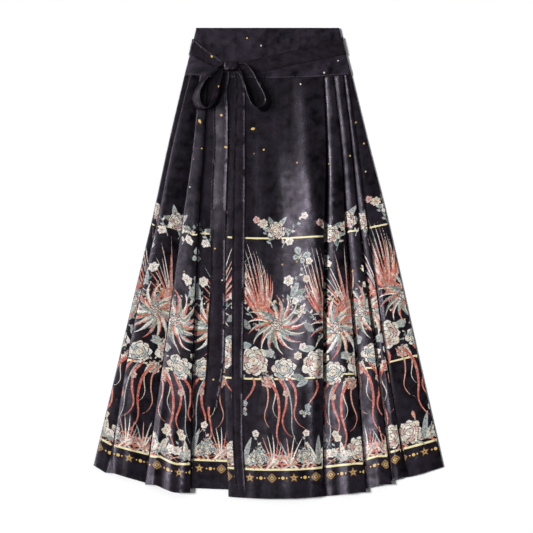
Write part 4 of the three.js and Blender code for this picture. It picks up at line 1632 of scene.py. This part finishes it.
class SKIRT_OT_materials(bpy.types.Operator):
    """Makes the satin of the skirt and of its ties"""
    bl_idname = "skirt.materials"
    bl_label = "Satin"

    def execute(self, context):
        colours = context.scene.skirt_colours
        ripple = context.scene.skirt_sizes.ripple
        mottle_group()
        weave_group()
        ripple_group()
        detail_group()
        satin("printed satin", colours.cloth, colours.cloth_pale, ripple)
        satin("band satin", colours.band, colours.band_pale, ripple)
        satin("ribbon satin", colours.ribbon, colours.ribbon_pale, ripple * RIBBON_RIPPLE)
        return {"FINISHED"}


# How far the print runs along each front panel, and where its border starts
OUTER_PRINT = (760, 30)
INNER_PRINT = (640, 60)


class SKIRT_OT_panels(bpy.types.Operator):
    """Makes the two pleated front panels and the panel behind"""
    bl_idname = "skirt.panels"
    bl_label = "Panels"

    def execute(self, context):
        thickness = context.scene.skirt_sizes.cloth_thickness
        material = bpy.data.materials["printed satin"]
        shapes = panel_shapes(OUTER_REPEATS, *OUTER_PRINT) + specks_on(OUTER_FACES, OUTER_SPECKS)
        outer = panel_cloth(OUTER_FACES, OUTER_FOLDS, SIDE_RIGHT, False, shapes)
        outer.finish("outer_panel", material, thickness, "printed_cloth")
        shapes = panel_shapes(INNER_REPEATS, *INNER_PRINT) + specks_on(INNER_FACES, INNER_SPECKS)
        inner = panel_cloth(INNER_FACES, INNER_FOLDS, SIDE_LEFT, True, shapes)
        inner.finish("inner_panel", material, thickness, "printed_cloth")
        back = back_cloth(line_shapes(BACK_PRINT_WIDTH, 0) + row_shapes(BACK_PRINT_WIDTH))
        back.finish("back_panel", material, thickness, "printed_cloth")
        return {"FINISHED"}


# The row of stitches above the waist seam
STITCH_FROM = -156
STITCH_TO = 161
STITCH_PITCH = 5.6
STITCH_ABOVE = 3
STITCH_SIZE = (3.4, 0.6, 0.5)
THREAD_ROUGHNESS = 0.6
STITCH_CLEAR = 3  # how far past the band's free end the stitches come up to its front layer


def stitch_row(context):
    """The visible stitches that hold the waistband to the panels, as one piece."""
    dashes = []
    for k in range(int((STITCH_TO - STITCH_FROM) / STITCH_PITCH) + 1):
        x = STITCH_FROM + k * STITCH_PITCH
        drop = seam_drop(x) - STITCH_ABOVE
        on_front = x > BAND_END_X[-1] + STITCH_CLEAR
        z = BAND_FRONT_Z + band_relief(x, BAND_HEIGHT) if on_front else level(1)
        bpy.ops.object.select_all(action="DESELECT")
        bpy.ops.mesh.primitive_cube_add(size=MM, location=Vector(up_the_skirt(x, drop, z + WALL / 2)) * MM)
        dash = context.object
        dash.scale = STITCH_SIZE
        dash.rotation_euler.z = 2 * BAND_RISE * x / WAIST_HALF**2
        dashes.append(dash)
    for dash in dashes:
        dash.select_set(True)
    bpy.ops.object.join()
    row = context.object
    row.name = "waist_stitching"
    bpy.ops.object.transform_apply(location=True, rotation=True, scale=True)
    material, _ = plain_material("sewing thread", context.scene.skirt_colours.thread, THREAD_ROUGHNESS)
    row.data.materials.append(material)
    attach(row, "root")
    return row


class SKIRT_OT_waistband(bpy.types.Operator):
    """Makes the waistband"""
    bl_idname = "skirt.waistband"
    bl_label = "Waistband"

    def execute(self, context):
        thickness = context.scene.skirt_sizes.cloth_thickness
        material = bpy.data.materials["band satin"]
        specks = []
        for x, drop, size, ink in BAND_SPECKS:
            specks += speck((x, BAND_HEIGHT * drop / (seam_drop(x) - BAND_GAP)), size, ink)
        band = band_cloth(specks).finish("waistband", material, thickness, "cloth")
        stitch_row(context)
        return {"FINISHED"}


class SKIRT_OT_ties(bpy.types.Operator):
    """Makes the waist ties, the tails and the bow's loops"""
    bl_idname = "skirt.ties"
    bl_label = "Ties and bow"

    def execute(self, context):
        sizes = context.scene.skirt_sizes
        material = bpy.data.materials["ribbon satin"]
        ribbons = {
            "tie_left": tie_ribbon(TIE_LEFT),
            "tie_right": tie_ribbon(TIE_RIGHT),
            "tie_tail_short": tail_ribbon(TAIL_SHORT, TAIL_SHORT_SLANT, TAIL_SHORT_LIFT),
            "tie_tail_long": tail_ribbon(TAIL_LONG, 0, 0),
        }
        loops = {
            "bow_loop_right": loop_ribbon(LOOP_RIGHT, LOOP_RIGHT_LEAN),
            "bow_loop_left": loop_ribbon(LOOP_LEFT, LOOP_LEFT_LEAN),
        }
        for group, thickness in ((ribbons, sizes.cloth_thickness), (loops, sizes.loop_thickness)):
            for name, ribbon in group.items():
                cloth = ribbon_cloth(ribbon, ribbon.specks(TIE_SPECKS.get(name, ())))
                cloth.finish(name, material, thickness, "tie_cloth")
        return {"FINISHED"}


# The creases of the knot: where each lies across it, its half width and its depth
KNOT_CREASES = ((-0.5, 0.2, 0.08), (0.35, 0.2, 0.08))
KNOT_SLANT = 0.42  # how far they lean
KNOT_SQUARENESS = (0.62, 0.66)  # powers across and along: the lower, the squarer its outline
KNOT_CREASE_START = 0.3  # how far below its middle they start
KNOT_FLATNESS = 0.5  # the power of its height: the lower, the flatter its top
KNOT_TOP = 0.86  # the share of its height that the smooth top takes
KNOT_WAVE = 0.04  # and how much that share changes across the creases
KNOT_WAVES = 3
KNOT_TAPER = 0.14  # how much less it reaches up and down the skirt at its right side
KNOT_WIDTH = 0.97
KNOT_UV = (0.08, 0.04)  # the metres of cloth round it and along it
KNOT_FACES = (72, 48)


def knot_place(x, y, z):
    """Where a point of a ball with radius 1 goes on the knot, in millimetres."""
    x = math.copysign(abs(x) ** KNOT_SQUARENESS[0], x)
    y = math.copysign(abs(y) ** KNOT_SQUARENESS[1], y)
    slant = x - KNOT_SLANT * y
    crease = sum(depth * math.exp(-((slant - at) / half) ** 2) for at, half, depth in KNOT_CREASES)
    shrink = 1 - crease * max(z + KNOT_CREASE_START, 0)
    top = KNOT_TOP + KNOT_WAVE * math.sin(KNOT_WAVES * slant)
    up = abs(z) ** KNOT_FLATNESS * top if z > 0 else z
    centre_z = (KNOT["low"] + KNOT["high"]) / 2
    half_height = (KNOT["high"] - KNOT["low"]) / 2
    return Vector((
        KNOT["x"] + KNOT["half_width"] * x * KNOT_WIDTH,
        LENGTH / 2 - KNOT["drop"] + KNOT["half_drop"] * y * (1 - KNOT_TAPER * x),
        max(centre_z + half_height * up * shrink, KNOT["low"]),
    ))


class SKIRT_OT_knot(bpy.types.Operator):
    """Makes the knot of the bow: a flat wrapped band with the creases that run round it"""
    bl_idname = "skirt.knot"
    bl_label = "Knot"

    def execute(self, context):
        bpy.ops.object.select_all(action="DESELECT")
        segments, rings = KNOT_FACES
        bpy.ops.mesh.primitive_uv_sphere_add(segments=segments, ring_count=rings, radius=1)
        obj = context.object
        obj.name = "knot_cloth"
        for vertex in obj.data.vertices:
            vertex.co = knot_place(*vertex.co) * MM
        obj.data.uv_layers[0].name = "cloth"
        for loop in obj.data.uv_layers[0].data:
            loop.uv = (loop.uv[0] * KNOT_UV[0], loop.uv[1] * KNOT_UV[1])
        ink = obj.data.color_attributes.new(name="ink", type="FLOAT_COLOR", domain="CORNER")
        ink.data.foreach_set("color", [0.0] * (4 * len(obj.data.loops)))
        obj.data.materials.append(bpy.data.materials["ribbon satin"])
        bpy.ops.object.shade_smooth()
        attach(obj, "root")
        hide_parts("knot")
        return {"FINISHED"}


# The lights: strength, softness and turn in degrees, and whether a light makes gloss alone. The
# others make none, so that brightness and gloss are set apart from each other
LIGHTS = {
    "key": (4.6, 16, (0, -50, -14), False),
    "fill": (0.4, 50, (0, 58, 16), False),
    "foot": (0.45, 50, (-58, 0, 0), False),
    "edge": (1.2, 16, (0, -50, -14), True),
    "sheen": (0.58, 15, (4, -27, 0), True),
}
FLOOR_SIZE = 14  # metres
FLOOR_BELOW = 0.5
FLOOR_ROUGHNESS = 0.9
FLOOR_SPECULAR = 0.1
STUDIO_COLOUR = (0.95, 0.96, 1, 1)
STUDIO_STRENGTH = 0.06
CAMERA_X = -4
CAMERA_Y = -6.6
VIEW_WIDTH = 1.066  # metres that the camera sees across
SENSOR_WIDTH = 36
CAMERA_REACH = 30  # metres


class SKIRT_OT_stage(bpy.types.Operator):
    """Sets the pale floor, the soft lights and the camera straight above"""
    bl_idname = "skirt.stage"
    bl_label = "Stage"

    def execute(self, context):
        scene = context.scene
        bpy.ops.object.select_all(action="DESELECT")
        bpy.ops.mesh.primitive_plane_add(size=FLOOR_SIZE, location=(0, 0, -FLOOR_BELOW * MM))
        floor = context.object
        floor.name = "floor"
        material, shader = plain_material("pale floor", scene.skirt_colours.floor, FLOOR_ROUGHNESS)
        shader.inputs["Specular IOR Level"].default_value = FLOOR_SPECULAR
        floor.data.materials.append(material)
        world = bpy.data.worlds.new("studio")
        world.use_nodes = True
        background = world.node_tree.nodes["Background"]
        background.inputs["Color"].default_value = STUDIO_COLOUR
        background.inputs["Strength"].default_value = STUDIO_STRENGTH
        scene.world = world
        for name, (energy, spread_angle, turn, gloss) in LIGHTS.items():
            bpy.ops.object.light_add(type="SUN")
            light = context.object
            light.name = name
            light.visible_glossy = gloss
            light.visible_diffuse = not gloss
            light.data.energy = energy
            light.data.angle = math.radians(spread_angle)
            light.rotation_euler = [math.radians(angle) for angle in turn]
        height = scene.skirt_sizes.camera_height
        bpy.ops.object.camera_add(location=(CAMERA_X * MM, CAMERA_Y * MM, height))
        camera = context.object
        camera.data.sensor_width = SENSOR_WIDTH
        camera.data.lens = SENSOR_WIDTH * height / VIEW_WIDTH
        camera.data.clip_end = CAMERA_REACH
        scene.camera = camera
        scene.view_settings.view_transform = "Standard"
        return {"FINISHED"}


class SKIRT_PT_panel(bpy.types.Panel):
    bl_idname = "SKIRT_PT_panel"
    bl_label = "Pleated wrap skirt"
    bl_space_type = "VIEW_3D"
    bl_region_type = "UI"
    bl_category = "Skirt"

    def draw(self, context):
        layout = self.layout
        for group in (context.scene.skirt_sizes, context.scene.skirt_colours):
            for name in group.__annotations__:
                layout.prop(group, name)
        for step in STEPS:
            layout.operator(step.bl_idname)


STEPS = (
    SKIRT_OT_materials,
    SKIRT_OT_stage,
    SKIRT_OT_panels,
    SKIRT_OT_waistband,
    SKIRT_OT_ties,
    SKIRT_OT_knot,
)
CLASSES = (SkirtSizes, SkirtColours) + STEPS + (SKIRT_PT_panel,)


def register():
    for cls in CLASSES:
        bpy.utils.register_class(cls)
    bpy.types.Scene.skirt_sizes = bpy.props.PointerProperty(type=SkirtSizes)
    bpy.types.Scene.skirt_colours = bpy.props.PointerProperty(type=SkirtColours)


def unregister():
    del bpy.types.Scene.skirt_colours
    del bpy.types.Scene.skirt_sizes
    for cls in reversed(CLASSES):
        bpy.utils.unregister_class(cls)


def main():
    register()
    bpy.ops.skirt.materials()
    bpy.ops.skirt.stage()
    bpy.ops.skirt.panels()
    bpy.ops.skirt.waistband()
    bpy.ops.skirt.ties()
    bpy.ops.skirt.knot()


if __name__ == "__main__":
    main()
